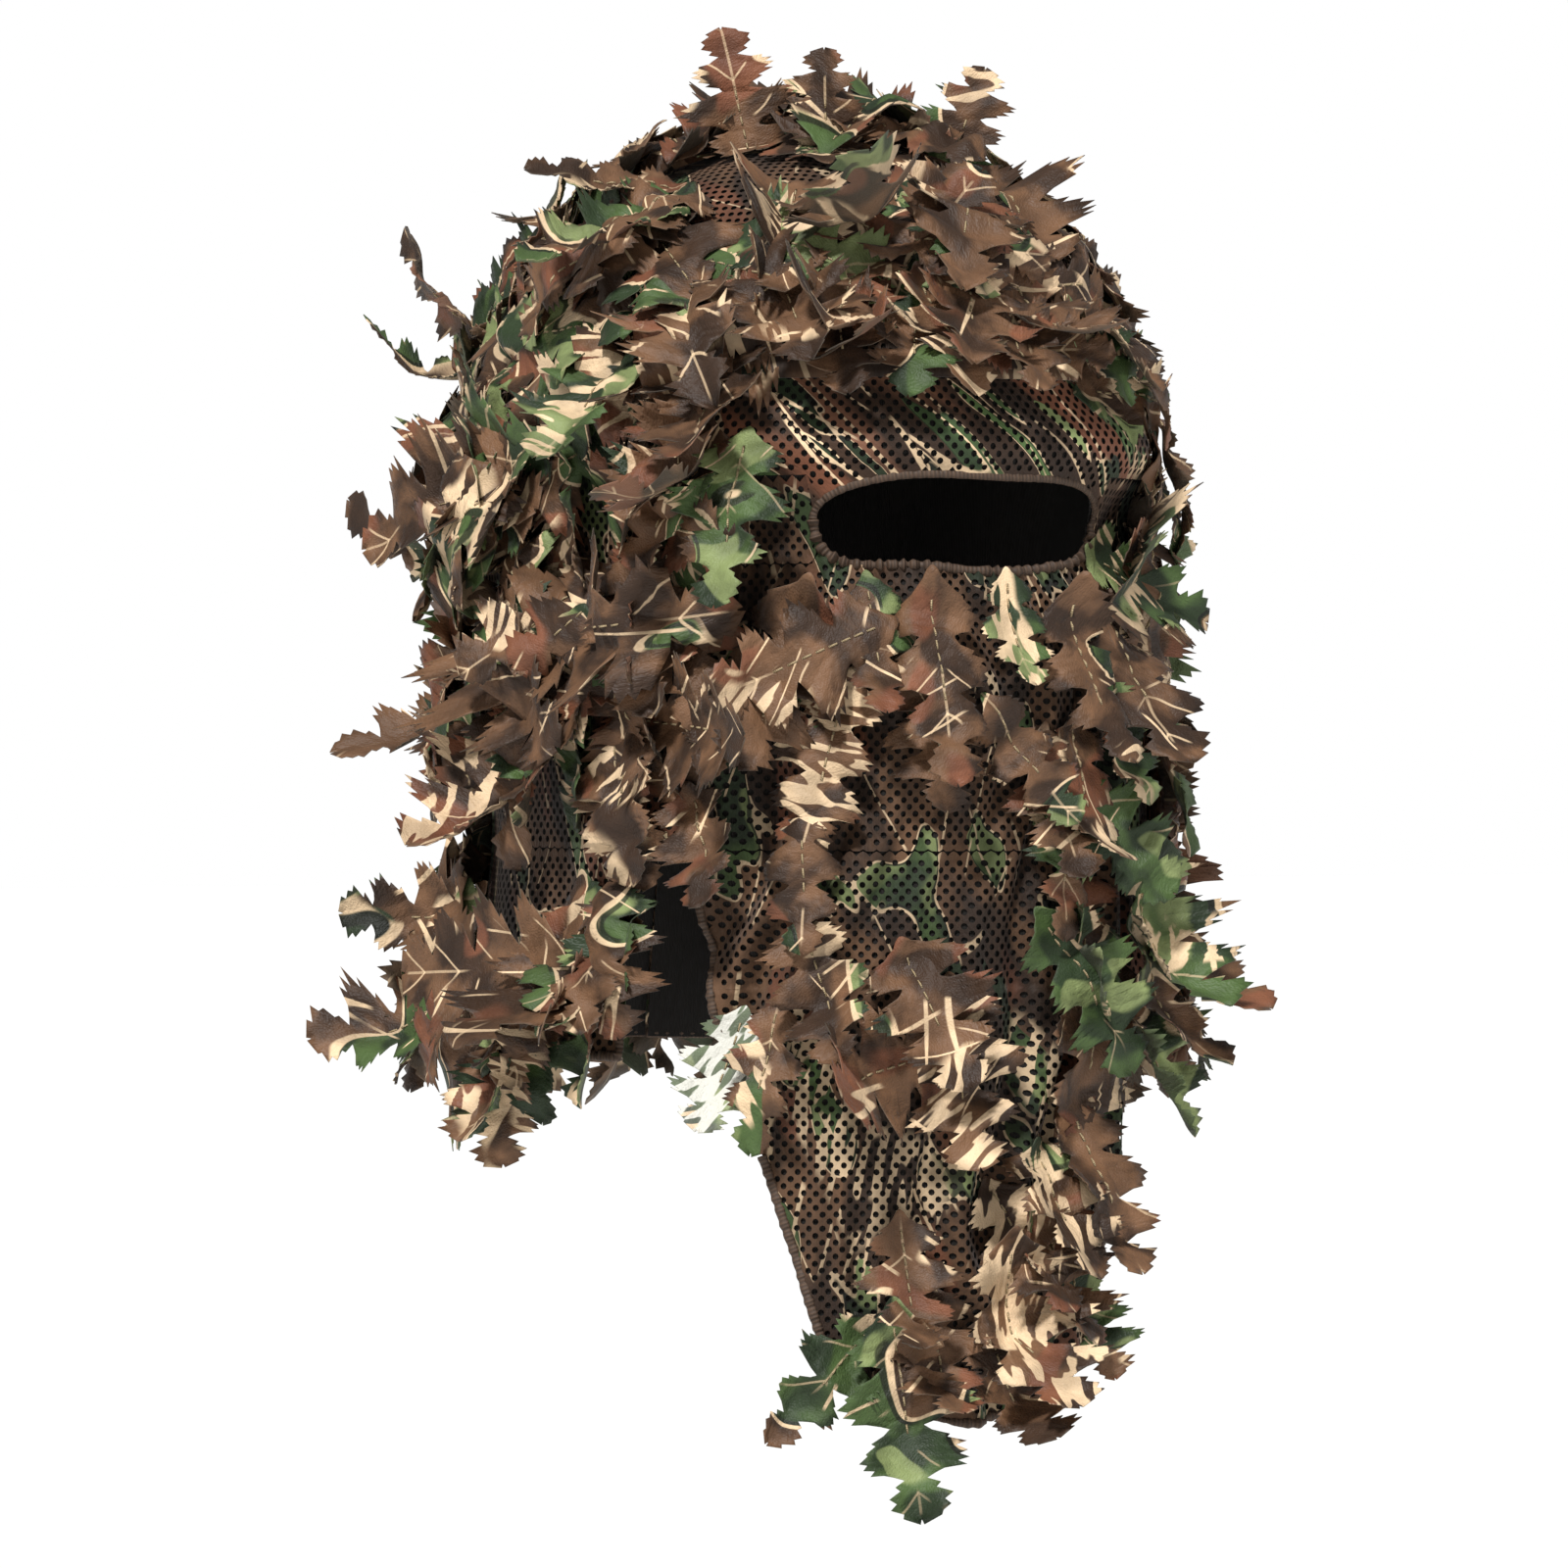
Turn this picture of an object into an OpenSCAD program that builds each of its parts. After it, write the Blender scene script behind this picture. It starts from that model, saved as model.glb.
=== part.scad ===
// Leafy camouflage head net: a knitted net hood with an eye slot, a long face panel that hangs
// free below the chin as a bib, a short neck skirt with a slit on each side, and die-cut cloth
// leaves sewn on all over by a stitch line down each midrib.
// The face looks along -Y and the wearer's left is +X. The origin is where the top of the
// head touches the inside of the crown. Angles run round the head from the front: 0 is the nose,
// 90 the wearer's left ear, -90 the right ear, 180 the nape.

/* [Hood] */
// Half of the hood's width, ear to ear
half_width = 96; // [92:1:100]
// Depth from the ear line to the forehead
front_depth = 112; // [108:1:116]
// Depth from the ear line to the back of the head
back_depth = 118; // [114:1:124]
// Height of the rounded crown over the ear line
crown_height = 105; // [100:1:110]
// Thickness of the knitted net
cloth = 1.2; // [1:0.1:1.5]

/* [Eye slot] */
// Top edge of the eye slot, below the crown
slot_top = 103; // [100:1:106]
// Bottom edge of the eye slot, below the crown
slot_bottom = 129; // [126:1:134]
// Half of the angle that the slot spans round the face
slot_angle = 29; // [26:1:33]

/* [Skirt and bib] */
// Seam between the crown and the side panels, below the crown
crown_seam = 70; // [66:1:74]
// Half of the angle that the face panel spans
face_angle = 52; // [50:1:54]
// Level of the chin, where the side seams end and the slits start
chin = 215; // [211:1:219]
// Level of the skirt's hem
skirt_hem = 278; // [272:1:284]
// Angle of the skirt's front edge
skirt_angle = 64; // [62:1:66]
// Level where the bib folds in half
bib_fold = 300; // [296:1:304]
// Level of the bib's lower corners
bib_corner = 366; // [360:1:372]
// How far the bib's rounded tip drops below its corners
bib_drop = 20; // [14:1:24]

/* [Leaves] */
// Length of a full-size leaf
leaf_length = 62; // [54:1:64]
// Width of a full-size leaf
leaf_width = 40; // [34:1:41]
// Thickness of the leaf cloth
leaf_cloth = 0.8; // [0.6:0.1:1]
// How far a leaf stands off the net at its stitched root
leaf_gap = 2.2; // [2:0.1:2.6]

/* [Hidden] */

crown_power = 2.3;      // 2 is an ellipsoid, more is squarer in the shoulders
crown_hole = 0.01;      // share of the width left open at the apex, under the seam tape
seam_gap = 0.2;         // half of the gap left between two panels at a seam
hinge_gap = 1.5;        // half of the gap along a fold line
tape = 0.8;             // thickness of seam tapes and bindings
flare = 0.09;           // how much the skirt widens per millimetre of drop
fold_angle = 101;       // angle where the skirt flap's fold meets the hem
right = -1;
left = 1;

net_brown = [0.33, 0.23, 0.16];
net_green = [0.21, 0.29, 0.17];
leaf_brown = [0.42, 0.30, 0.21];
leaf_green = [0.25, 0.38, 0.20];
leaf_tan = [0.80, 0.66, 0.48];
thread = [0.75, 0.68, 0.55];
trim = [0.18, 0.14, 0.10];

// ---- The form of the hood -------------------------------------------------------------------

// Share of the full width at a depth below the crown
function swell(d) =
    d >= crown_height ? 1
    : pow(1 - pow((crown_height - max(d, 0)) / crown_height, crown_power), 1 / crown_power);

// Depth of the front at a level: the face panel bows out over the nose and mouth
function front(d) = front_depth + lookup(d, [[100, 0], [130, 2], [165, 7], [chin, 6], [bib_fold, 2], [400, -3]]);

// Extra width of the skirt
function spread(d) = d > chin ? (d - chin) * flare : 0;

// A point of the net's inner face, at an angle round the head and a depth below the crown
function face_point(angle, d, skirt) =
    let (
        depth = cos(angle) > 0 ? front(d) : back_depth,
        extra = skirt ? spread(d) : 0
    )
    [
        (half_width + extra) * swell(d) * sin(angle),
        -(depth + extra) * swell(d) * cos(angle),
        -d
    ];

function unit(v) = v / norm(v);

// Direction down the net from a point, and straight out of it
function down(angle, d, skirt) =
    unit(face_point(angle, d + 0.5, skirt) - face_point(angle, max(d - 0.2, 0.01), skirt));
function round_it(angle, d, skirt) = unit(face_point(angle + 0.4, d, skirt) - face_point(angle - 0.4, d, skirt));
function outward(angle, d, skirt) = unit(cross(round_it(angle, d, skirt), down(angle, d, skirt))) * -1;

// The same point lifted off the net along its normal
function lifted(angle, d, lift, skirt = false) = face_point(angle, d, skirt) + lift * outward(angle, d, skirt);

// A sheet of cloth: place(u, v) gives [angle, depth] for u and v from 0 to 1
module sheet(place, nu, nv, low, high, skirt = false) {
    columns = nu + 1;
    rows = nv + 1;
    layer = columns * rows;
    function at(i, j, side) = j * columns + i + side * layer;
    points = [
        for (side = [0, 1]) for (j = [0:nv]) for (i = [0:nu])
            let (p = place(i / nu, j / nv)) lifted(p[0], p[1], side == 0 ? low : high, skirt)
    ];
    outer = [for (j = [0:nv - 1]) for (i = [0:nu - 1])
        each [[at(i, j, 1), at(i, j + 1, 1), at(i + 1, j + 1, 1)],
              [at(i, j, 1), at(i + 1, j + 1, 1), at(i + 1, j, 1)]]];
    inner = [for (j = [0:nv - 1]) for (i = [0:nu - 1])
        each [[at(i, j, 0), at(i + 1, j + 1, 0), at(i, j + 1, 0)],
              [at(i, j, 0), at(i + 1, j, 0), at(i + 1, j + 1, 0)]]];
    rim = concat(
        [for (i = [0:nu - 1]) each [
            [at(i, 0, 0), at(i, 0, 1), at(i + 1, 0, 1)], [at(i, 0, 0), at(i + 1, 0, 1), at(i + 1, 0, 0)],
            [at(i, nv, 0), at(i + 1, nv, 1), at(i, nv, 1)], [at(i, nv, 0), at(i + 1, nv, 0), at(i + 1, nv, 1)]]],
        [for (j = [0:nv - 1]) each [
            [at(0, j, 0), at(0, j + 1, 1), at(0, j, 1)], [at(0, j, 0), at(0, j + 1, 0), at(0, j + 1, 1)],
            [at(nu, j, 0), at(nu, j, 1), at(nu, j + 1, 1)], [at(nu, j, 0), at(nu, j + 1, 1), at(nu, j + 1, 0)]]]
    );
    polyhedron(points = points, faces = concat(outer, inner, rim), convexity = 8);
}

// A sheet between two angles and two depths
module patch(a0, a1, d0, d1, nu, nv, low = 0, high = cloth, skirt = false) {
    sheet(function (u, v) [a0 + (a1 - a0) * u, d0 + (d1 - d0) * v], nu, nv, low, high, skirt);
}

// ---- Panels ---------------------------------------------------------------------------------

// Depth at which the crown reaches a share of its full width, so that rows are even on the dome
function depth_of(share) = crown_height * (1 - pow(1 - pow(share, crown_power), 1 / crown_power));

module crown_half(side) {
    seam = 2 * seam_gap;
    rim = swell(crown_seam - seam_gap);
    sheet(
        function (u, v) [side > 0 ? seam + u * (180 - 2 * seam) : -180 + seam + u * (180 - 2 * seam),
                         depth_of(crown_hole + (rim - crown_hole) * sin(90 * pow(v, 0.9)))],
        12, 7, 0, cloth
    );
}

module side_panel(side) {
    near = face_angle + 2 * seam_gap;
    far = 180 - 2 * seam_gap;
    patch(side > 0 ? near : -far, side > 0 ? far : -near, crown_seam + seam_gap, chin - seam_gap, 9, 4);
}

module brow_band() {
    color(net_green)
    patch(-face_angle, face_angle, crown_seam + seam_gap, slot_top, 14, 4);
}

module temple(side) {
    patch(side > 0 ? slot_angle : -face_angle, side > 0 ? face_angle : -slot_angle,
          slot_top + seam_gap, slot_bottom - seam_gap, 3, 2);
}

module face_panel() {
    color(net_brown)
    patch(-face_angle, face_angle, slot_bottom, chin - hinge_gap, 12, 5);
}

// The skirt's lower edge runs up along the flap's fold and then along the hem
function skirt_bottom(angle) =
    angle >= fold_angle ? skirt_hem
    : chin + hinge_gap + 6 + (skirt_hem - chin - hinge_gap - 6) * (angle - skirt_angle) / (fold_angle - skirt_angle);

module skirt_half(side) {
    sheet(
        function (u, v)
            let (
                share = side > 0 ? u : 1 - u,
                angle = skirt_angle + (180 - 2 * seam_gap - skirt_angle) * share,
                top = chin + seam_gap
            )
            [side * angle, top + (skirt_bottom(angle) - top) * v],
        14, 2, 0, cloth, true
    );
}

// Corner of the skirt beside the slit, which folds back along a diagonal
module flap(side) {
    sheet(
        function (u, v)
            let (
                share = side > 0 ? u : 1 - u,
                angle = skirt_angle + (fold_angle - 5 - skirt_angle) * share,
                top = skirt_bottom(angle) + 2 * hinge_gap
            )
            [side * angle, top + (skirt_hem - top) * v],
        5, 3, 0, cloth, true
    );
}

// Half of the angle that the bib spans at a level
function bib_angle(d) = lookup(d, [[chin, face_angle - 1], [265, 46], [bib_fold, 39], [bib_corner, 26]]);

// The bib narrows as it hangs and ends in a shallow rounded tip
function bib_end(u) = bib_corner + bib_drop * (1 - pow(2 * u - 1, 2));

module bib_sheet(d0, tip, nv, inset = 0, low = 0, high = cloth) {
    sheet(
        function (u, v)
            let (end = tip ? bib_end(u) - inset : bib_fold - hinge_gap, d = d0 + (end - d0) * v)
            [(2 * u - 1) * (bib_angle(min(d, bib_corner)) - inset * 0.4), d],
        10, nv, low, high
    );
}

// ---- Tapes, bindings and tacks --------------------------------------------------------------

tape_low = cloth + 0.5;
tape_high = tape_low + tape;

// Tape over the centre seam, in one strip from the brow over the apex to the nape
module centre_seam_tape() {
    reach = swell(crown_seam - 6);
    color(trim)
    sheet(
        function (u, v)
            let (
                across = (1 - 2 * u) * 5 / half_width,
                along = reach * sin(90 * (1 - 2 * v)),
                share = norm([across, along])
            )
            [atan2(across, along), depth_of(share)],
        1, 18, tape_low, tape_high
    );
}

// Ring of tape over the seam between the crown and the side panels
module crown_seam_tape() {
    color(trim)
    for (side = [right, left])
        patch(side > 0 ? 4 : -176, side > 0 ? 176 : -4, crown_seam - 4, crown_seam + 4, 24, 2, tape_low, tape_high);
}

module cheek_seam(side) {
    width = 2.5;
    patch(side * face_angle - width, side * face_angle + width, crown_seam + 5, chin - 8, 1, 12,
          tape_low, tape_high);
}

// Folded edge of the slot: one above the eyes, one below
module slot_binding_upper() {
    color(trim)
    patch(-slot_angle, slot_angle, slot_top - 6, slot_top - 0.3, 10, 1, tape_low, tape_high);
}

module slot_binding_lower() {
    color(trim)
    patch(-slot_angle, slot_angle, slot_bottom + 0.3, slot_bottom + 6, 10, 1, tape_low, tape_high);
}

// Elastic round the slot, sewn flat on the inside of its edges
module slot_elastic() {
    color("dimgray") {
        patch(-slot_angle, slot_angle, slot_top - 6, slot_top - 1, 10, 1, -1.5, -0.7);
        patch(-slot_angle, slot_angle, slot_bottom + 1, slot_bottom + 6, 10, 1, -1.5, -0.7);
        for (side = [right, left])
            patch(side * (slot_angle + 3) - 2, side * (slot_angle + 3) + 2, slot_top, slot_bottom, 1, 2, -1.5, -0.7);
    }
}

// Bar tack that closes the centre seam at the nape
module nape_tack() {
    color(thread)
    patch(177, 183, chin - 10, chin - 4, 1, 1, tape_low, tape_high);
}

module skirt_hem(side) {
    from = fold_angle + 1;
    patch(side > 0 ? from : -179, side > 0 ? 179 : -from, skirt_hem - 6, skirt_hem, 14, 1, tape_low, tape_high, true);
}

module flap_hem(side) {
    to = fold_angle - 11;
    patch(side > 0 ? skirt_angle : -to, side > 0 ? to : -skirt_angle, skirt_hem - 5, skirt_hem, 6, 1,
          tape_low, tape_high, true);
}

// Bar tack that stops the slit running up past the chin
module slit_tack(side) {
    middle = side * (face_angle + skirt_angle) / 2;
    patch(middle - 3, middle + 3, chin - 6, chin - 2.5, 1, 1, tape_low, tape_high);
}

// Binding down each free edge of the upper bib
module bib_upper_binding() {
    color(trim)
    for (side = [right, left])
        sheet(
            function (u, v) let (d = chin + 8 + (bib_fold - chin - 14) * v)
                [side * (bib_angle(d) - (side > 0 ? 3 - 2.8 * u : 0.2 + 2.8 * u)), d],
            1, 5, tape_low, tape_high
        );
}

module bib_hem_binding() {
    color(trim)
    sheet(
        function (u, v) [(2 * u - 1) * (bib_angle(bib_corner) - 1), bib_end(u) - 6 + 5.5 * v],
        10, 1, tape_low, tape_high
    );
}

// ---- Leaves ---------------------------------------------------------------------------------

// Outline of a lobed leaf, root at the origin and tip at +Y: lobes and notches take turns
function leaf_side(length, width) = [
    for (i = [1:8]) let (t = i / 9) [
        width / 2 * (i % 2 == 1 ? 1 : 0.62) * pow(sin(180 * pow(t, 0.85)), 0.7),
        length * t
    ]
];

module leaf_outline(length, width) {
    edge = leaf_side(length, width);
    polygon(concat([[1.5, 0]], edge, [[0, length]], [for (i = [7:-1:0]) [-edge[i][0], edge[i][1]]], [[-1.5, 0]]));
}

// One leaf, or its stitch line, sewn on at an angle and depth. The root lies on the net, and the
// leaf leans out by tilt and turns in its own plane by roll.
module place_leaf(part, angle, d, tilt, roll, size = 1, skirt = false) {
    along = down(angle, d, skirt);
    out = outward(angle, d, skirt);
    y_axis = along * cos(tilt) + out * sin(tilt);
    z_axis = out * cos(tilt) - along * sin(tilt);
    x_axis = cross(y_axis, z_axis);
    origin = lifted(angle, d, cloth + leaf_gap, skirt);
    multmatrix([
        [x_axis[0], y_axis[0], z_axis[0], origin[0]],
        [x_axis[1], y_axis[1], z_axis[1], origin[1]],
        [x_axis[2], y_axis[2], z_axis[2], origin[2]],
        [0, 0, 0, 1]
    ])
    rotate([0, 0, roll]) {
        if (part == "leaf")
            linear_extrude(leaf_cloth) leaf_outline(leaf_length * size, leaf_width * size);
        else
            translate([-0.5, 4, leaf_cloth]) cube([1, leaf_length * size * 0.5, 0.5]);
    }
}

// A row of leaves at one level between two angles, evenly spread, with a small sway in turn
module leaf_row(part, d, from, to, count, tilt, size = 1, skirt = false) {
    for (i = [0:count - 1]) {
        angle = count == 1 ? from : from + (to - from) * i / (count - 1);
        place_leaf(part, angle, d, tilt + (i % 2 == 0 ? 2 : -2), i % 2 == 0 ? 6 : -7, size, skirt);
    }
}

module top_leaves(part) {
    for (i = [0:3])
        place_leaf(part, 45 + 90 * i, depth_of(0.22), 58, 0, 0.8);
}

module crown_leaves(part, side) {
    leaf_row(part, depth_of(0.52), side * 20, side * 140, 3, 30, 0.85);
    leaf_row(part, depth_of(0.80), side * 14, side * 128, 5, 26, 0.9);
    leaf_row(part, 64, side * 62, side * 138, 4, 22);
}

module crown_back_leaves(part) {
    leaf_row(part, depth_of(0.52), 180, 180, 1, 30, 0.85);
    leaf_row(part, depth_of(0.80), 164, 196, 2, 26, 0.9);
    leaf_row(part, 64, 167, 193, 2, 22);
}

module side_leaves(part, side) {
    leaf_row(part, 98, side * 49, side * 49, 1, 22, 0.75);
    leaf_row(part, 98, side * 74, side * 126, 3, 22);
    leaf_row(part, 134, side * 62, side * 114, 3, 22);
    leaf_row(part, 170, side * 74, side * 126, 3, 22, 0.9);
}

module back_leaves(part, side) {
    leaf_row(part, 98, side * 152, side * 152, 1, 22);
    leaf_row(part, 134, side * 140, side * 164, 2, 22);
    leaf_row(part, 170, side * 151, side * 151, 1, 22);
}

module nape_leaves(part) {
    leaf_row(part, 98, 178, 178, 1, 22);
    leaf_row(part, 170, 177, 177, 1, 22);
    leaf_row(part, 206, 164, 196, 2, 20, 0.9);
}

module face_leaves(part, side) {
    leaf_row(part, 136, side * 42, side * 42, 1, 20, 0.85);
    leaf_row(part, 170, side * 29, side * 29, 1, 20, 0.72);
}

module face_centre_leaves(part) {
    leaf_row(part, 136, -14, 14, 2, 20, 0.85);
    leaf_row(part, 170, 0, 0, 1, 20, 0.72);
}

module skirt_leaves(part, side) {
    leaf_row(part, 218, side * 138, side * 138, 1, 20, 0.85, true);
    leaf_row(part, 244, side * 127, side * 172, 3, 18, 0.85, true);
}

module flap_leaves(side) {
    place_leaf("leaf", side * 72, 238, 14, side * 6, 0.62, true);
    place_leaf("leaf", side * 85, 258, 14, side * -4, 0.55, true);
}

module bib_upper_leaves(part) {
    leaf_row(part, 222, -36, 36, 4, 16, 0.75);
    leaf_row(part, 251, -24, 24, 3, 16, 0.72);
}

module bib_lower_leaves(part) {
    leaf_row(part, 306, -25, 25, 3, 14, 0.8);
    leaf_row(part, 336, -13, 13, 2, 14, 0.85);
    leaf_row(part, 364, -21, 21, 3, 14, 0.92);
}

// ---- The nodes ------------------------------------------------------------------------------

color(net_brown) crown_half(right);  // crown_right
color(net_brown) crown_half(left);  // crown_left
color(net_brown) side_panel(right);  // side_right
color(net_brown) side_panel(left);  // side_left
brow_band();
color(net_green) temple(right);  // temple_right
color(net_green) temple(left);  // temple_left
face_panel();
color(net_brown) skirt_half(right);  // skirt_right
color(net_brown) skirt_half(left);  // skirt_left

centre_seam_tape();
crown_seam_tape();
color(trim) cheek_seam(right);  // cheek_seam_right
color(trim) cheek_seam(left);  // cheek_seam_left
slot_binding_upper();
slot_binding_lower();
slot_elastic();
nape_tack();
color(trim) skirt_hem(right);  // skirt_hem_right
color(trim) skirt_hem(left);  // skirt_hem_left
color(thread) slit_tack(right);  // slit_tack_right
color(thread) slit_tack(left);  // slit_tack_left

color(leaf_brown) top_leaves("leaf");  // leaves_top
color(leaf_green) crown_leaves("leaf", right);  // leaves_crown_right
color(leaf_brown) crown_leaves("leaf", left);  // leaves_crown_left
color(leaf_green) crown_back_leaves("leaf");  // leaves_crown_back
color(leaf_brown) side_leaves("leaf", right);  // leaves_side_right
color(leaf_green) side_leaves("leaf", left);  // leaves_side_left
color(leaf_green) back_leaves("leaf", right);  // leaves_back_right
color(leaf_brown) back_leaves("leaf", left);  // leaves_back_left
color(leaf_brown) nape_leaves("leaf");  // leaves_nape
color(leaf_brown) face_leaves("leaf", right);  // leaves_face_right
color(leaf_green) face_leaves("leaf", left);  // leaves_face_left
color(leaf_tan) face_centre_leaves("leaf");  // leaves_face_centre
color(leaf_green) skirt_leaves("leaf", right);  // leaves_skirt_right
color(leaf_brown) skirt_leaves("leaf", left);  // leaves_skirt_left

color(thread) {  // stitches_crown
    top_leaves("stitch");
    crown_leaves("stitch", right);
    crown_leaves("stitch", left);
    crown_back_leaves("stitch");
}
color(thread) {  // stitches_sides
    side_leaves("stitch", right);
    side_leaves("stitch", left);
}
color(thread) {  // stitches_back
    back_leaves("stitch", right);
    back_leaves("stitch", left);
    nape_leaves("stitch");
}
color(thread) {  // stitches_face
    face_leaves("stitch", right);
    face_leaves("stitch", left);
    face_centre_leaves("stitch");
}
color(thread) {  // stitches_skirt
    skirt_leaves("stitch", right);
    skirt_leaves("stitch", left);
}

color(net_green) bib_sheet(chin + hinge_gap, false, 6);  // bib_upper
bib_upper_binding();
color(leaf_brown) bib_upper_leaves("leaf");  // leaves_bib_upper
color(thread) bib_upper_leaves("stitch");  // stitches_bib_upper
color(net_brown) bib_sheet(bib_fold + hinge_gap, true, 4);  // bib_lower
bib_hem_binding();
color(leaf_green) bib_lower_leaves("leaf");  // leaves_bib_lower
color(thread) bib_lower_leaves("stitch");  // stitches_bib_lower

color(net_brown) flap(right);  // flap_right
color(trim) flap_hem(right);  // flap_right_hem
color(leaf_green) flap_leaves(right);  // leaves_flap_right
color(net_brown) flap(left);  // flap_left
color(trim) flap_hem(left);  // flap_left_hem
color(leaf_brown) flap_leaves(left);  // leaves_flap_left
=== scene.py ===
"""A leafy camouflage face mask: knitted net, die-cut cloth leaves, bindings and stitching.

Lengths are in metres. A place on the hood is an angle round the head, from the nose and positive
towards the wearer's left, and a depth below the crown. The face looks along -Y.
"""

from __future__ import annotations

import logging
import math
import random
from collections.abc import Callable, Iterable, Sequence
from dataclasses import dataclass, field, replace
from enum import Enum

import bmesh
import bpy
import numpy as np
from mathutils import Matrix, Vector


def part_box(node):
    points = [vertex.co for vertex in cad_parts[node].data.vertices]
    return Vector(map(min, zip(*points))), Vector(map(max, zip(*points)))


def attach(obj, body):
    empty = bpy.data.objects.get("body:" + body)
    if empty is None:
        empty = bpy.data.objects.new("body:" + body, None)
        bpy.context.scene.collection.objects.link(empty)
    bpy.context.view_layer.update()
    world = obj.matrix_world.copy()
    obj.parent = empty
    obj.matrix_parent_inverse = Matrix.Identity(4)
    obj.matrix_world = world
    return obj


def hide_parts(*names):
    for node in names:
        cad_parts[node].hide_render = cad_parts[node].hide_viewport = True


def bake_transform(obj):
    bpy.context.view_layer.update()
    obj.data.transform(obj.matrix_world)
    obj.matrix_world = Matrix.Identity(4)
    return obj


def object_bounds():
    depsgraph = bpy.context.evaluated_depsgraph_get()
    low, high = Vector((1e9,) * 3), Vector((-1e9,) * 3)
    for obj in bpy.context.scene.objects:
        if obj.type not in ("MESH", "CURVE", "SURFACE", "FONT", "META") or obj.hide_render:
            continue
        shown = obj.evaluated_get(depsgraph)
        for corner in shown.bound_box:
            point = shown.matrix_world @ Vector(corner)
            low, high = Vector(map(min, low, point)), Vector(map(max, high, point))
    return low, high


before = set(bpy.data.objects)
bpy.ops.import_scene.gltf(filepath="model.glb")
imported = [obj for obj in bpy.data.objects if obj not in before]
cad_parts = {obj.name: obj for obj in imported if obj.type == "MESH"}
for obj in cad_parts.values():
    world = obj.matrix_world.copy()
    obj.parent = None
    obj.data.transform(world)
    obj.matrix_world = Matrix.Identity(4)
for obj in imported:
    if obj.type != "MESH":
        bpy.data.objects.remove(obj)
CAD_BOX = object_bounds()
LOG = logging.getLogger("face_mask")

MM = 0.001
PRINT_MAP = "print"
LEAF_MAP = "leaf"
TONE = "tone"
Colour = tuple[float, float, float, float]


class Body(Enum):
    """The moving bodies of the mask."""

    HOOD = "hood"
    BIB_TOP = "bib_top"
    BIB_TIP = "bib_tip"
    FLAP_RIGHT = "flap_right"
    FLAP_LEFT = "flap_left"


class Side(Enum):
    """The wearer's right and left, as the sign of X."""

    RIGHT = -1
    LEFT = 1

    @property
    def word(self) -> str:
        """The side's name in lower case."""
        return self.name.lower()


# Shader maths


def srgb(code: str) -> Colour:
    """Turns a hex colour into the linear values that a shader takes.

    Args:
        code: Six hex digits after a hash.

    Returns:
        Linear red, green and blue, with an alpha of 1.
    """
    parts = [int(code[i : i + 2], 16) / 255 for i in (1, 3, 5)]
    linear = [c / 12.92 if c <= 0.04045 else ((c + 0.055) / 1.055) ** 2.4 for c in parts]
    return (linear[0], linear[1], linear[2], 1.0)


@dataclass(frozen=True)
class Value:
    """A number socket of a shader, on which Python's operators add Math nodes."""

    graph: Graph
    link: bpy.types.NodeSocket

    def _math(self, operation: str, *operands: Value | float) -> Value:
        """Adds one Math node.

        Args:
            operation: The Math node's operation.
            operands: Its inputs, in order.

        Returns:
            The node's result.
        """
        return self.graph.node("ShaderNodeMath", {"operation": operation}, dict(enumerate(operands)))

    def __add__(self, other: Value | float) -> Value:
        """Sum."""
        return self._math("ADD", self, other)

    def __sub__(self, other: Value | float) -> Value:
        """Difference."""
        return self._math("SUBTRACT", self, other)

    def __rsub__(self, other: float) -> Value:
        """Difference, from a number."""
        return self._math("SUBTRACT", other, self)

    def __mul__(self, other: Value | float) -> Value:
        """Product."""
        return self._math("MULTIPLY", self, other)

    __radd__ = __add__
    __rmul__ = __mul__

    def __abs__(self) -> Value:
        """Size without sign."""
        return self._math("ABSOLUTE", self)

    def sine(self) -> Value:
        """Sine of the value in radians."""
        return self._math("SINE", self)

    def larger(self, other: Value) -> Value:
        """The larger of two values."""
        return self._math("MAXIMUM", self, other)

    def step(self, low: float, high: float) -> Value:
        """A smooth step from 0 at low to 1 at high."""
        return self.graph.node(
            "ShaderNodeMapRange",
            {"interpolation_type": "SMOOTHSTEP"},
            {"Value": self, "From Min": low, "From Max": high},
        )

    def line(self, level: float, width: float) -> Value:
        """1 where the value crosses a level, as a thin line with soft edges.

        Args:
            level: The level that the line follows.
            width: How far from the level, in the value's own units, the line reaches.

        Returns:
            The line's mask.
        """
        return 1 - abs(self - level).step(width * 0.6, width)


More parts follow.
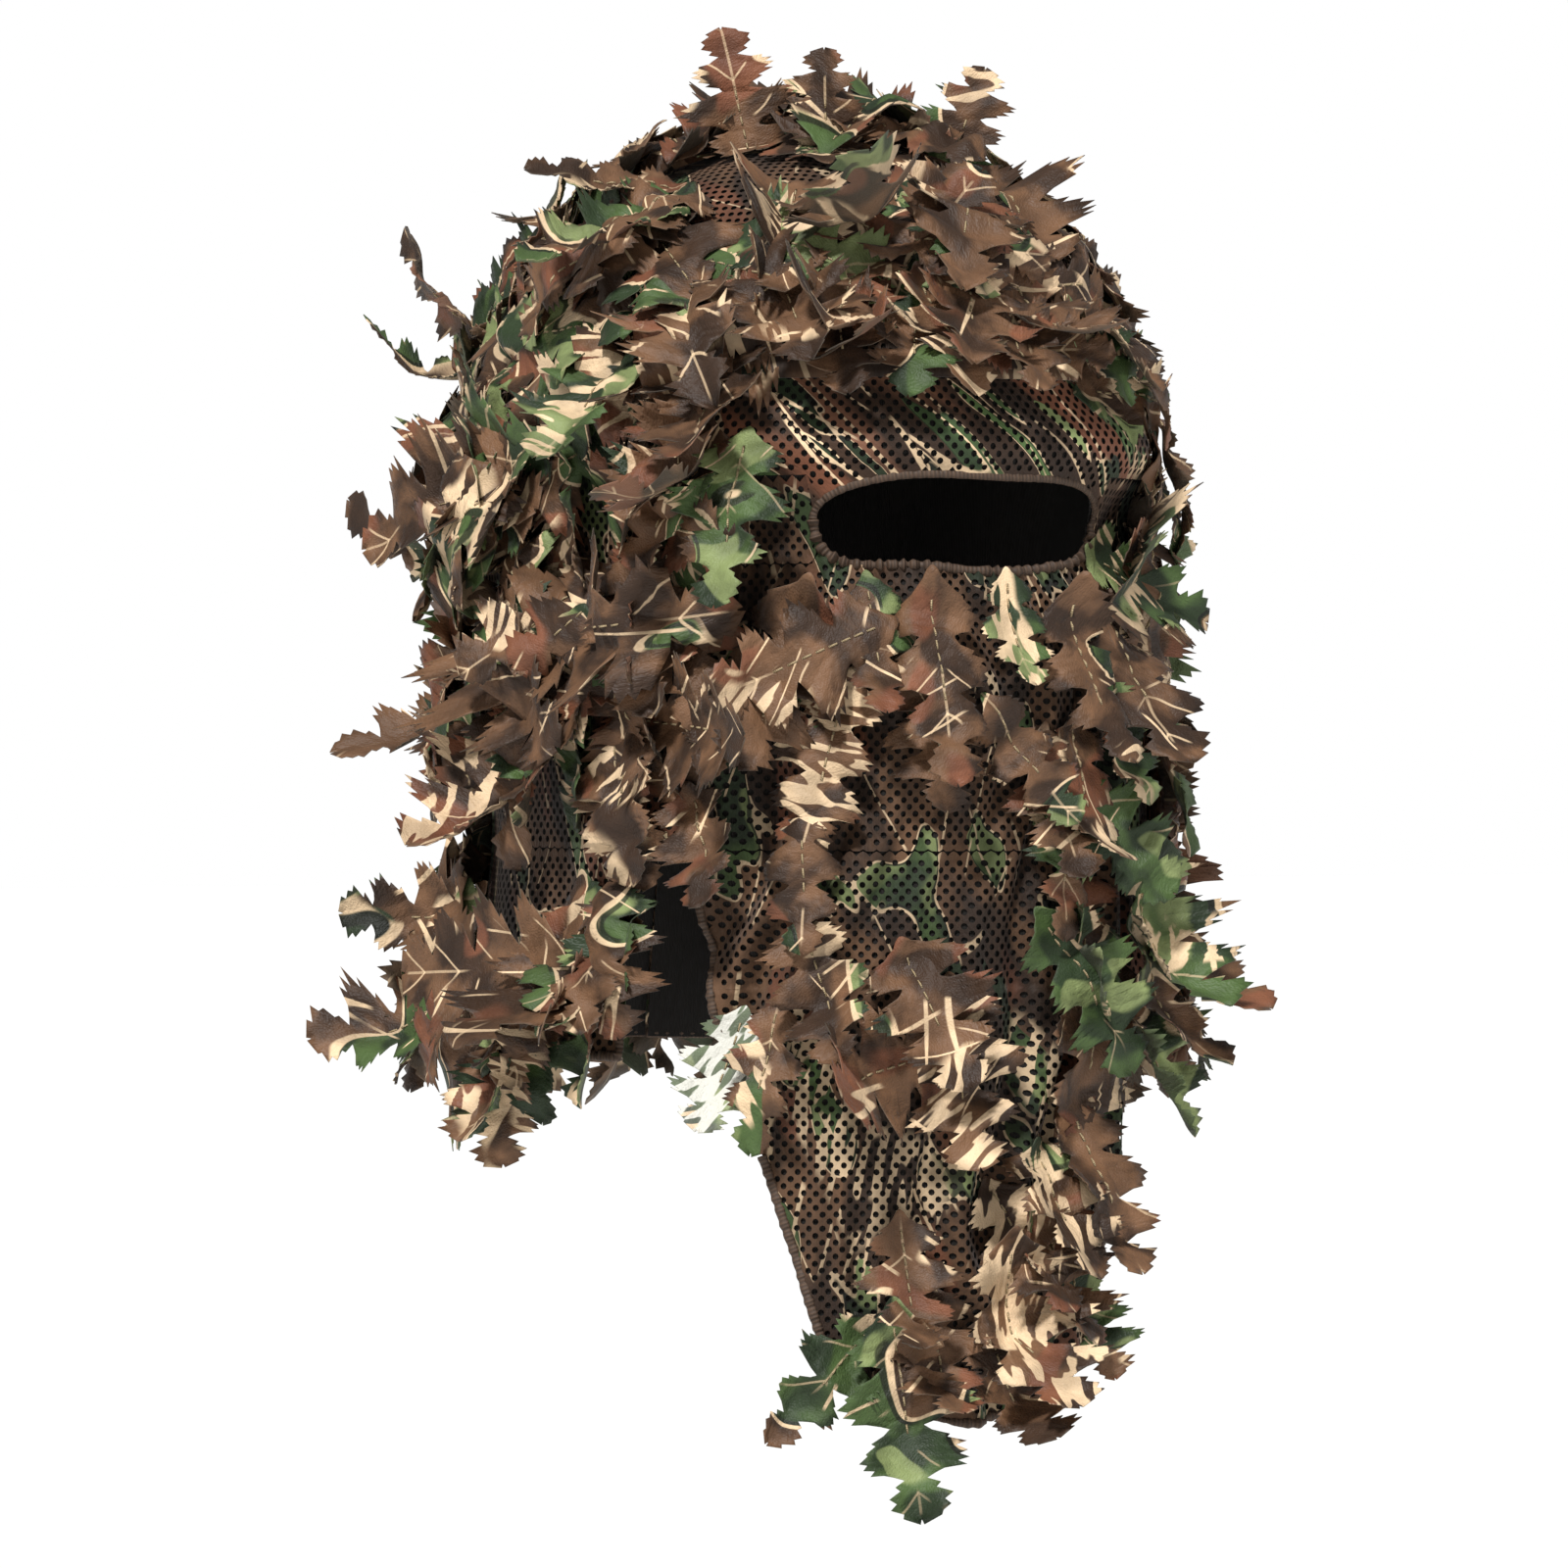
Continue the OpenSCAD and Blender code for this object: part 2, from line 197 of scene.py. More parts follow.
class Graph:
    """A material's node tree, built with short calls."""

    def __init__(self, name: str) -> None:
        """Makes an empty material with one Principled shader."""
        self.material = bpy.data.materials.new(name)
        self.material.use_nodes = True
        self.tree = self.material.node_tree
        self.shader = self.tree.nodes["Principled BSDF"]

    def node(
        self,
        kind: str,
        settings: dict[str, object] | None = None,
        inputs: dict[int | str, object] | None = None,
        output: int | str = 0,
    ) -> Value:
        """Adds a node.

        Args:
            kind: The node's type.
            settings: Its properties, set first.
            inputs: Values or links of its sockets.
            output: Which output is returned.

        Returns:
            The chosen output.
        """
        item = self.tree.nodes.new(kind)
        for key, value in (settings or {}).items():
            setattr(item, key, value)
        for key, value in (inputs or {}).items():
            if isinstance(value, Value):
                self.tree.links.new(value.link, item.inputs[key])
            else:
                item.inputs[key].default_value = value
        return Value(self, item.outputs[output])

    def mix(self, first: object, second: object, factor: Value | float, blend: str = "MIX") -> Value:
        """Mixes two colours.

        Args:
            first: The colour at factor 0.
            second: The colour at factor 1.
            factor: How much of the second shows.
            blend: The blend mode.

        Returns:
            The mixed colour.
        """
        return self.node(
            "ShaderNodeMix",
            {"data_type": "RGBA", "blend_type": blend},
            {0: factor, 6: first, 7: second},
            output=2,
        )

    def print_place(self, turn: float = 0.0, stretch: tuple[float, float] = (1.0, 1.0)) -> Value:
        """The place on the printed cloth, in metres.

        Args:
            turn: Angle in degrees by which the pattern is turned.
            stretch: How much each direction is scaled before the pattern is read.

        Returns:
            A vector socket.
        """
        place = self.node("ShaderNodeUVMap", {"uv_map": PRINT_MAP})
        scale = (1 / stretch[0], 1 / stretch[1], 1)
        return self.node(
            "ShaderNodeMapping",
            {"vector_type": "TEXTURE"},
            {"Vector": place, "Rotation": (0, 0, math.radians(turn)), "Scale": scale},
        )

    def warped(self, place: Value, scale: float, reach: float) -> Value:
        """Bends a place with a slow noise, so that shapes get wandering edges.

        Args:
            place: The place on the cloth.
            scale: The noise's scale, per metre.
            reach: The furthest that a point moves, in metres.

        Returns:
            The moved place.
        """
        noise = self.node(
            "ShaderNodeTexNoise",
            {"noise_dimensions": "2D"},
            {"Vector": place, "Scale": scale, "Detail": 1.0},
            output="Color",
        )
        centred = self.node("ShaderNodeVectorMath", {"operation": "SUBTRACT"}, {0: noise, 1: (0.5, 0.5, 0.5)})
        small = self.node("ShaderNodeVectorMath", {"operation": "SCALE"}, {0: centred, "Scale": reach * 2})
        return self.node("ShaderNodeVectorMath", {"operation": "ADD"}, {0: place, 1: small})

    def noise(self, place: Value, scale: float, detail: float = 1.0, shift: float = 0.0) -> Value:
        """Noise from 0 to 1 on the cloth.

        Args:
            place: The place that it is read at.
            scale: Its scale, per metre.
            detail: How many finer layers it has.
            shift: A sideways offset, which gives another pattern.

        Returns:
            The noise's value.
        """
        lifted = self.node("ShaderNodeVectorMath", {"operation": "ADD"}, {0: place, 1: (shift, -shift, 0)})
        return self.node(
            "ShaderNodeTexNoise",
            {"noise_dimensions": "2D"},
            {"Vector": lifted, "Scale": scale, "Detail": detail, "Roughness": 0.45},
        )

    def bump(self, height: Value, depth: float, strength: float = 1.0) -> None:
        """Feeds a height into the shader's normal."""
        normal = self.node(
            "ShaderNodeBump", None, {"Height": height, "Distance": depth, "Strength": strength}, "Normal"
        )
        self.tree.links.new(normal.link, self.shader.inputs["Normal"])

    def feed(self, socket: str, value: object) -> None:
        """Sets or links one input of the shader."""
        if isinstance(value, Value):
            self.tree.links.new(value.link, self.shader.inputs[socket])
        else:
            self.shader.inputs[socket].default_value = value


# Finishes


@dataclass(frozen=True)
class CamoPrint:
    """The printed pattern: brown and green patches, tan streaks and bands of tiger stripes."""

    brown: str = "#6e4f37"
    umber: str = "#382619"
    rust: str = "#7b4b34"
    pine: str = "#28361f"
    green: str = "#465a30"
    lime: str = "#7c8857"
    tan: str = "#e4c6a0"
    # Near-black: the print's own dark lines, and the painted shade mixed into the net.
    soot: str = "#120e0a"
    patch_scale: float = 22.0
    tone_reach: float = 0.40
    grain: float = 1.0
    turn: float = 0.0
    streaked: float = 0.57
    leafy: float = 0.545
    even_tone: float = 0.56

    def colour(self, graph: Graph, tone: Value | float) -> Value:
        """Draws the print.

        Args:
            graph: The material that it is drawn in.
            tone: 0 for a cut from the brown stretches, 1 for one from the green ones.

        Returns:
            The printed colour.
        """
        flat = graph.print_place(self.turn, (1.0, self.grain))
        place = graph.warped(flat, 19.0, 16 * MM * self.grain)
        patches = graph.noise(place, self.patch_scale, 1.2) + (tone - self.even_tone) * self.tone_reach
        leafy = patches.step(self.leafy, self.leafy + 0.006)

        clouds = graph.noise(place, 52.0, 4.0, 3.1).step(0.42, 0.60)
        earth = graph.mix(srgb(self.brown), srgb(self.umber), clouds)
        rusty = graph.noise(place, 34.0, 1.0, 5.7).step(0.60, 0.66)
        earth = graph.mix(earth, srgb(self.rust), rusty * 0.8)
        sunlit = graph.noise(place, 36.0, 2.0, 8.3).step(0.46, 0.54)
        foliage = graph.mix(srgb(self.pine), srgb(self.green), sunlit)
        young = graph.noise(place, 40.0, 1.5, 11.9).step(0.57, 0.61)
        foliage = graph.mix(foliage, srgb(self.lime), young)
        printed = graph.mix(earth, foliage, leafy)

        shadow = patches.line(self.leafy + 0.02, 0.012) * graph.noise(flat, 40.0, 1.0, 14.0).step(0.45, 0.52)
        printed = graph.mix(printed, srgb(self.soot), shadow * 0.8)
        outline = patches.line(self.leafy, 0.0125) * graph.noise(flat, 30.0, 1.0, 2.2).step(0.36, 0.42)
        streaks = self._streaks(graph, 28.0 * self.grain, 60.0, 17.0, self.streaked)
        veins = self._streaks(graph, -54.0 * self.grain, 56.0, 21.0, self.streaked + 0.04)
        tiger = self._tiger(graph, place, tone)
        light = outline.larger(streaks).larger(veins).larger(tiger)
        printed = graph.mix(printed, srgb(self.tan), light * 0.92)

        mottle = graph.noise(flat, 85.0, 4.0, 23.0).step(0.28, 0.72) * 0.52 + 0.68
        shade = graph.node("ShaderNodeCombineColor", None, {0: mottle, 1: mottle, 2: mottle})
        return graph.mix(printed, shade, 1.0, "MULTIPLY")

    @staticmethod
    def _streaks(graph: Graph, turn: float, scale: float, shift: float, share: float) -> Value:
        """Long thin tapering lines that run one way, in short broken lengths.

        Args:
            graph: The material.
            turn: The way that they run, in degrees.
            scale: How close they lie.
            shift: Which pattern of them is drawn.
            share: Where the mask that breaks them starts.

        Returns:
            The lines' mask.
        """
        along = graph.print_place(turn, (1.0, 0.14))
        level = graph.noise(along, scale, 0.6, shift)
        broken = graph.noise(graph.print_place(), 34.0, 1.0, shift + 1.7).step(share, share + 0.05)
        return level.line(0.5, 0.016) * broken

    @staticmethod
    def _tiger(graph: Graph, place: Value, tone: Value) -> Value:
        """Bands of close curved stripes, in a few patches.

        Args:
            graph: The material.
            place: The warped place.
            tone: The cut's tone: below 0 it is striped all over.

        Returns:
            The stripes' mask.
        """
        along = graph.print_place(12.0, (1.0, 0.22))
        stripes = graph.noise(graph.warped(along, 34.0, 4 * MM), 290.0, 0.8, 31.0).step(0.50, 0.535)
        patch = graph.noise(place, 17.0, 0.8, 41.0).step(0.62, 0.65)
        return stripes * (patch * tone.step(0.0, 0.06) + (tone * -1).step(0.05, 0.1))


@dataclass(frozen=True)
class LeafFace:
    """Printed leaf cloth: thin satin polyester with faint veins. A tone over 1 is a pale cut."""

    name: str = "leaf_print"
    faded: float = 0.0
    roughness: float = 0.58
    vein_pitch: float = 15 * MM
    pattern: CamoPrint = CamoPrint()

    def make(self) -> bpy.types.Material:
        """Builds the material."""
        graph = Graph(self.name)
        tone = graph.node("ShaderNodeAttribute", {"attribute_name": TONE}, output="Fac")
        colour = self.pattern.colour(graph, tone)
        flat = graph.print_place()
        colour = graph.mix(colour, srgb(self.pattern.tan), self._veins(graph, tone))
        bands = graph.noise(graph.print_place(30.0, (1.0, 0.2)), 340.0, 0.8, 3.3).step(0.47, 0.51)
        pale = tone.step(1.05, 1.2) * (bands * 0.80 + 0.12)
        colour = graph.mix(colour, srgb("#dedcd2"), pale)
        if self.faded:
            colour = graph.mix(colour, srgb("#8f8a7a"), self.faded)
        graph.feed("Base Color", colour)
        weave = graph.print_place(45.0, (1.0, 0.35))
        threads = graph.noise(weave, 1500.0, 1.0) * 0.25 + graph.noise(flat, 1900.0, 0.0, 4.0) * 0.2
        creases = abs(graph.noise(graph.print_place(20.0, (1.0, 0.5)), 62.0, 3.0, 9.0) - 0.5) * 1.6
        graph.bump(creases + threads * 0.22, 4.2 * MM, 0.8)
        graph.feed("Roughness", graph.noise(flat, 120.0, 2.0, 6.0) * 0.22 + (self.roughness - 0.11))
        graph.feed("Sheen Weight", 0.04)
        graph.feed("Sheen Roughness", 0.4)
        graph.feed("Specular IOR Level", 0.34)
        return graph.material

    def _veins(self, graph: Graph, tone: Value) -> Value:
        """Thin pale veins, straight and slanting off the midrib, broken here and there.

        Args:
            graph: The material.
            tone: The leaf's tone: green leaves show fewer.

        Returns:
            The veins' mask.
        """
        leaf = graph.node("ShaderNodeUVMap", {"uv_map": LEAF_MAP})
        parts = graph.node("ShaderNodeSeparateXYZ", None, {0: leaf}, output="X")
        across = abs(Value(graph, parts.link.node.outputs["Y"]))
        slant = parts - across * 0.9 + graph.noise(leaf, 60.0, 1.0) * 5 * MM
        phase = graph.node("ShaderNodeMath", {"operation": "PINGPONG"}, {0: slant, 1: self.vein_pitch / 2})
        side = 1 - phase.step(0.25 * MM, 0.6 * MM)
        rib = 1 - across.step(0.25 * MM, 0.55 * MM)
        shown = graph.noise(graph.print_place(), 38.0, 1.0, 51.0).step(0.60, 0.65)
        return (side * 0.75 + rib * 0.5) * shown * (1 - tone * 0.6)


@dataclass(frozen=True)
class NetYarn:
    """The knitted net, printed like the leaves but matt, with a fine looped yarn; its print is mixed toward
    near-black as painted shade.
    """

    name: str = "net_print"
    tone: float = 0.41
    # How far the print is mixed toward near-black: painted shade, as if the net lay in the leaves' shade.
    dark: float = 0.38
    pattern: CamoPrint = CamoPrint(patch_scale=58.0, grain=0.46, turn=-20.0, streaked=0.51)

    def make(self) -> bpy.types.Material:
        """Builds the material."""
        graph = Graph(self.name)
        colour = self.pattern.colour(graph, graph.node("ShaderNodeValue") * 0 + self.tone)
        # Painted shade: the print is mixed toward near-black by dark.
        graph.feed("Base Color", graph.mix(colour, srgb(self.pattern.soot), self.dark))
        yarn = graph.noise(graph.print_place(0.0, (1.0, 0.5)), 1300.0, 1.0)
        graph.bump(yarn, 0.4 * MM, 0.6)
        graph.feed("Roughness", yarn * 0.2 + 0.62)
        graph.feed("Sheen Weight", 0.1)
        graph.feed("Specular IOR Level", 0.3)
        return graph.material


@dataclass(frozen=True)
class WovenTape:
    """Narrow woven tape, elastic or thread: ribs across its run and a little colour variation."""

    name: str
    light: str
    dark: str
    rib_pitch: float = 0.9 * MM
    roughness: float = 0.7

    def make(self) -> bpy.types.Material:
        """Builds the material."""
        graph = Graph(self.name)
        flat = graph.print_place()
        along = graph.node("ShaderNodeSeparateXYZ", None, {0: flat}, output="X")
        ribs = (along * (math.tau / self.rib_pitch)).sine() * 0.5 + 0.5
        worn = graph.noise(flat, 260.0, 3.0)
        graph.feed("Base Color", graph.mix(srgb(self.dark), srgb(self.light), worn * 0.6 + ribs * 0.4))
        graph.bump(ribs + worn * 0.5, 0.25 * MM, 0.7)
        graph.feed("Roughness", worn * 0.2 + (self.roughness - 0.1))
        return graph.material


@dataclass(frozen=True)
class Backdrop:
    """Plain pale studio paper."""

    name: str = "studio_paper"

    def make(self) -> bpy.types.Material:
        """Builds the material."""
        graph = Graph(self.name)
        graph.feed("Base Color", (0.92, 0.92, 0.91, 1.0))
        graph.feed("Roughness", 0.9)
        graph.feed("Specular IOR Level", 0.1)
        return graph.material


# The form of the hood


@dataclass(frozen=True)
class HoodForm:
    """The form that the cloth hangs in, and the levels of its edges."""

    half_width: float
    front_depth: float
    back_depth: float
    crown_seam: float
    slot_top: float
    slot_bottom: float
    chin: float
    skirt_hem: float
    bib_fold: float
    bib_corner: float
    bib_tip: float
    crown_height: float = 105 * MM
    crown_power: float = 2.3
    flare: float = 0.09
    mean_radius: float = 106 * MM
    net_lift: float = 1.1 * MM
    # Lift of the near-black sheet behind the net, painted shade for the hood's unlit inside.
    backing_lift: float = 0.1 * MM
    slot_angle: float = 29.0
    face_angle: float = 52.0
    skirt_angle: float = 64.0
    fold_angle: float = 101.0
    tip_angle: float = 26.0
    slit_drop: float = 9 * MM

    @classmethod
    def from_frame(cls) -> HoodForm:
        """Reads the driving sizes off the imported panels."""
        cloth = 1.2 * MM
        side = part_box("side_left")
        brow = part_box("brow_band")
        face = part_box("face_panel")
        tip = -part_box("bib_lower")[0][2]
        return cls(
            half_width=side[1][0] - cloth,
            front_depth=-brow[0][1] - cloth,
            back_depth=side[1][1] - cloth,
            crown_seam=-side[1][2],
            slot_top=-brow[0][2],
            slot_bottom=-face[1][2],
            chin=-side[0][2],
            skirt_hem=-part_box("skirt_left")[0][2],
            bib_fold=-(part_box("bib_upper")[0][2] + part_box("bib_lower")[1][2]) / 2,
            bib_corner=tip - 20 * MM,
            bib_tip=tip,
        )

    def swell(self, depth: np.ndarray) -> np.ndarray:
        """Share of the full width at a depth."""
        rise = np.clip((self.crown_height - np.maximum(depth, 0)) / self.crown_height, 0, 1)
        return (1 - rise**self.crown_power) ** (1 / self.crown_power)

    def front(self, depth: np.ndarray) -> np.ndarray:
        """Depth of the front from the ear line: it bows out over the nose and mouth."""
        levels = [100 * MM, 130 * MM, 165 * MM, 215 * MM, 300 * MM, 400 * MM]
        return self.front_depth + np.interp(depth, levels, [0, 2 * MM, 7 * MM, 6 * MM, 2 * MM, -3 * MM])

    def base(self, angle: np.ndarray, depth: np.ndarray, skirt: bool) -> np.ndarray:
        """Points of the plain form.

        Args:
            angle: Angles round the head, in radians.
            depth: Depths below the crown.
            skirt: Whether the cloth is the flared skirt.

        Returns:
            One row of three for each place.
        """
        nose = np.cos(angle)
        spread = np.maximum(depth - self.chin, 0) * self.flare * skirt
        reach = np.where(nose > 0, self.front(depth), self.back_depth) + spread
        swell = self.swell(depth)
        return np.stack(
            [(self.half_width + spread) * swell * np.sin(angle), -reach * swell * nose, -depth], axis=-1
        )

    def relief(self, angle: np.ndarray, depth: np.ndarray) -> np.ndarray:
        """How far the hanging cloth stands off the plain form: folds, pleats and the brow's bulge."""
        turn = np.degrees(angle)
        frontal = np.clip((56 - np.abs(turn)) / 14, 0, 1)
        brow = 9 * MM * np.exp(-(((depth - self.slot_top + 9 * MM) / (14 * MM)) ** 2)) * frontal
        sunk = (depth - self.slot_top - 14 * MM) / (14 * MM)
        hollow = np.exp(-(((np.abs(turn) - 40) / 9) ** 2) - sunk**2)
        tucked = 2.5 * MM * np.exp(-(((depth - self.slot_bottom) / (9 * MM)) ** 2)) * frontal
        below = (depth - self.slot_bottom) / MM
        hanging = np.clip(below / 14, 0, 1)
        wander = 7 * np.sin(depth * 27) + 4 * np.sin(depth * 61 + turn * 0.05)
        strength = 0.6 + 0.4 * np.sin(turn * 0.09 + depth * 19 + 1.0)
        pleats = 4.6 * MM * np.sin((turn + wander) * math.tau / 14.0) * strength * hanging * frontal
        fine = 0.8 * MM * np.sin((turn + wander * 0.6) * math.tau / 5.7) * hanging * frontal
        gathers = 0.7 * MM * np.sin(turn * math.tau / 3.1) * frontal
        gathers = gathers * np.exp(-np.maximum(below, 0) / 9) * (below > -1)
        slack = 1.7 * MM * np.sin(turn * 0.083 + depth * 37) + 1.2 * MM * np.sin(turn * 0.19 - depth * 61 + 2)
        crown_fade = np.clip(depth / (40 * MM), 0, 1) * (1 - 0.6 * frontal)
        return brow - 7 * MM * hollow - tucked + pleats + fine + gathers + slack * crown_fade

    def normal(self, angle: np.ndarray, depth: np.ndarray, skirt: bool) -> np.ndarray:
        """Outward direction of the plain form."""
        turn, drop = 0.006, 0.4 * MM
        around = self.base(angle + turn, depth, skirt) - self.base(angle - turn, depth, skirt)
        lower = self.base(angle, depth + drop, skirt)
        down = lower - self.base(angle, np.maximum(depth - drop, 1e-6), skirt)
        out = np.cross(down, around)
        size = np.linalg.norm(out, axis=-1, keepdims=True)
        return np.where(size > 1e-12, out / np.maximum(size, 1e-12), np.array([0, 0, 1.0]))

    def place(
        self, degrees: np.ndarray, depth: np.ndarray, lift: np.ndarray | float = 0.0, skirt: bool = False
    ) -> np.ndarray:
        """Points of the hanging cloth.

        Args:
            degrees: Angles round the head.
            depth: Depths below the crown.
            lift: How far off the cloth's inner face the points stand.
            skirt: Whether the cloth is the flared skirt.

        Returns:
            One row of three for each place.
        """
        angle, depth = np.radians(np.asarray(degrees, float)), np.asarray(depth, float)
        out = self.normal(angle, depth, skirt)
        off = np.asarray(lift) + self.relief(angle, depth)
        return self.base(angle, depth, skirt) + out * off[..., None]

    def back_or_front(self, points: np.ndarray) -> np.ndarray:
        """The plain form's depth on the side of the ears that each point is on."""
        return np.where(points[:, 1] < 0, self.front_depth, self.back_depth)

    def dome_size(self, points: np.ndarray) -> np.ndarray:
        """How many times as large as the form's own dome the dome through each point is."""
        share = np.hypot(points[:, 0] / self.half_width, points[:, 1] / self.back_or_front(points))
        rise = np.maximum(1 + points[:, 2] / self.crown_height, 0)
        return (share**self.crown_power + rise**self.crown_power) ** (1 / self.crown_power)

    def spot(self, point: Vector) -> tuple[float, float]:
        """The angle in degrees and the depth of the place on the form nearest to a point."""
        depth = max(-point.z, 0.3 * MM)
        reach = self.front_depth if point.y < 0 else self.back_depth
        return math.degrees(math.atan2(point.x / self.half_width, -point.y / reach)), depth

    def slot_edge(self, degrees: np.ndarray, upper: bool) -> np.ndarray:
        """Depth of the eye slot's edge at an angle: round corners above, fuller ones below."""
        share = np.clip(np.abs(degrees) / self.slot_angle, 0, 1)
        half = (self.slot_bottom - self.slot_top) / 2
        sag = 1.1 * MM * np.sin(np.radians(degrees) * 9 + 0.6) * (1 - share**2)
        if upper:
            return self.slot_middle - half * (1 - share**3.2) ** 0.5 + sag * 0.5
        return self.slot_middle + (half + 1.2 * MM) * (1 - share**7) ** 0.4 + sag

    @property
    def slot_middle(self) -> float:
        """Depth of the middle of the eye slot."""
        return (self.slot_top + self.slot_bottom) / 2

    def bib_angle(self, depth: np.ndarray) -> np.ndarray:
        """Half of the angle that the bib spans at a depth."""
        levels = [self.chin, 265 * MM, self.bib_fold, self.bib_corner]
        return np.interp(depth, levels, [self.face_angle - 1, 46, 39, self.tip_angle])

    def bib_end(self, degrees: np.ndarray) -> np.ndarray:
        """Depth of the bib's lower edge: a shallow rounded tip."""
        share = np.clip(np.abs(degrees) / self.tip_angle, 0, 1)
        return self.bib_corner + (self.bib_tip - self.bib_corner) * (1 - share**2)


# Mesh helpers


def new_object(
    name: str, points: np.ndarray, faces: Iterable[Sequence[int]], smooth: bool = True
) -> bpy.types.Object:
    """Makes a mesh object at the origin.

    Args:
        name: The piece's name.
        points: Its vertices.
        faces: Its faces, as vertex numbers.
        smooth: Whether it is shaded smooth.

    Returns:
        The object, linked to the scene.
    """
    mesh = bpy.data.meshes.new(name)
    mesh.from_pydata(np.asarray(points).tolist(), [], [tuple(f) for f in faces])
    mesh.validate()
    if smooth:
        mesh.shade_smooth()
    piece = bpy.data.objects.new(name, mesh)
    bpy.context.scene.collection.objects.link(piece)
    return piece


def quads(rows: int, wide: int, start: int = 0, closed: bool = False) -> list[tuple[int, ...]]:
    """Faces between the rows of a grid of vertices.

    Args:
        rows: How many rows it has.
        wide: How many vertices each row has.
        start: The first one's number.
        closed: Whether the last row joins the first.

    Returns:
        The faces, row by row.
    """
    bands = [(r * wide + start, (r + 1) % rows * wide + start) for r in range(rows if closed else rows - 1)]
    return [(a + c, b + c, b + c + 1, a + c + 1) for a, b in bands for c in range(wide - 1)]


def write_print(piece: bpy.types.Object, places: np.ndarray, name: str = PRINT_MAP) -> None:
    """Writes where each vertex lies on the flat cloth, in metres, as a UV map."""
    layer = piece.data.uv_layers.new(name=name)
    corners = np.zeros(len(piece.data.loops), dtype=np.int32)
    piece.data.loops.foreach_get("vertex_index", corners)
    layer.data.foreach_set("uv", np.asarray(places, np.float32)[corners].ravel())


def face_out(piece: bpy.types.Object) -> None:
    """Turns a closed piece's faces outwards."""
    mesh = bmesh.new()
    mesh.from_mesh(piece.data)
    bmesh.ops.recalc_face_normals(mesh, faces=mesh.faces)
    mesh.to_mesh(piece.data)
    mesh.free()


def solidify(piece: bpy.types.Object, thickness: float, offset: float = 0.0, reverse: bool = False) -> None:
    """Gives a sheet its thickness with a live modifier.

    Args:
        piece: The sheet.
        thickness: The cloth's thickness.
        offset: -1 to grow inwards, 1 outwards.
        reverse: Whether the inner face takes the next material.
    """
    layer = piece.modifiers.new("cloth", "SOLIDIFY")
    layer.thickness = thickness
    layer.offset = offset
    layer.use_rim = True
    if reverse:
        layer.material_offset = 1
        layer.material_offset_rim = 1


def settle(piece: bpy.types.Object, body: Body, slot: str, node: str, *materials: bpy.types.Material) -> None:
    """Dresses a piece, lets it ride on its body and stand for its CAD node.

    Args:
        piece: The finished piece.
        body: The body that it moves with.
        slot: Not used.
        node: The CAD node that it replaces.
        materials: Its materials, in slot order.
    """
    for material in materials:
        piece.data.materials.append(material)
    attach(piece, body.value)
    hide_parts(node)
    LOG.info("%s: %d faces on %s", piece.name, len(piece.data.polygons), body.value)


# Knitted net

Limits = Callable[[np.ndarray], tuple[np.ndarray, np.ndarray]]
Wrap = Callable[[np.ndarray, np.ndarray], tuple[np.ndarray, np.ndarray]]


@dataclass(frozen=True)
class Cut:
    """The outline of a flat panel: its side edges at each level and its end edges across it."""

    name: str
    nodes: tuple[str, ...]
    across: tuple[float, float]
    drop: tuple[float, float]
    sides: Limits
    ends: Limits
    skirt: bool = False
    turn: float = 0.0

    @property
    def size(self) -> tuple[float, float]:
        """Width and length of the rectangle that it is cut from."""
        return self.across[1] - self.across[0], self.drop[1] - self.drop[0]


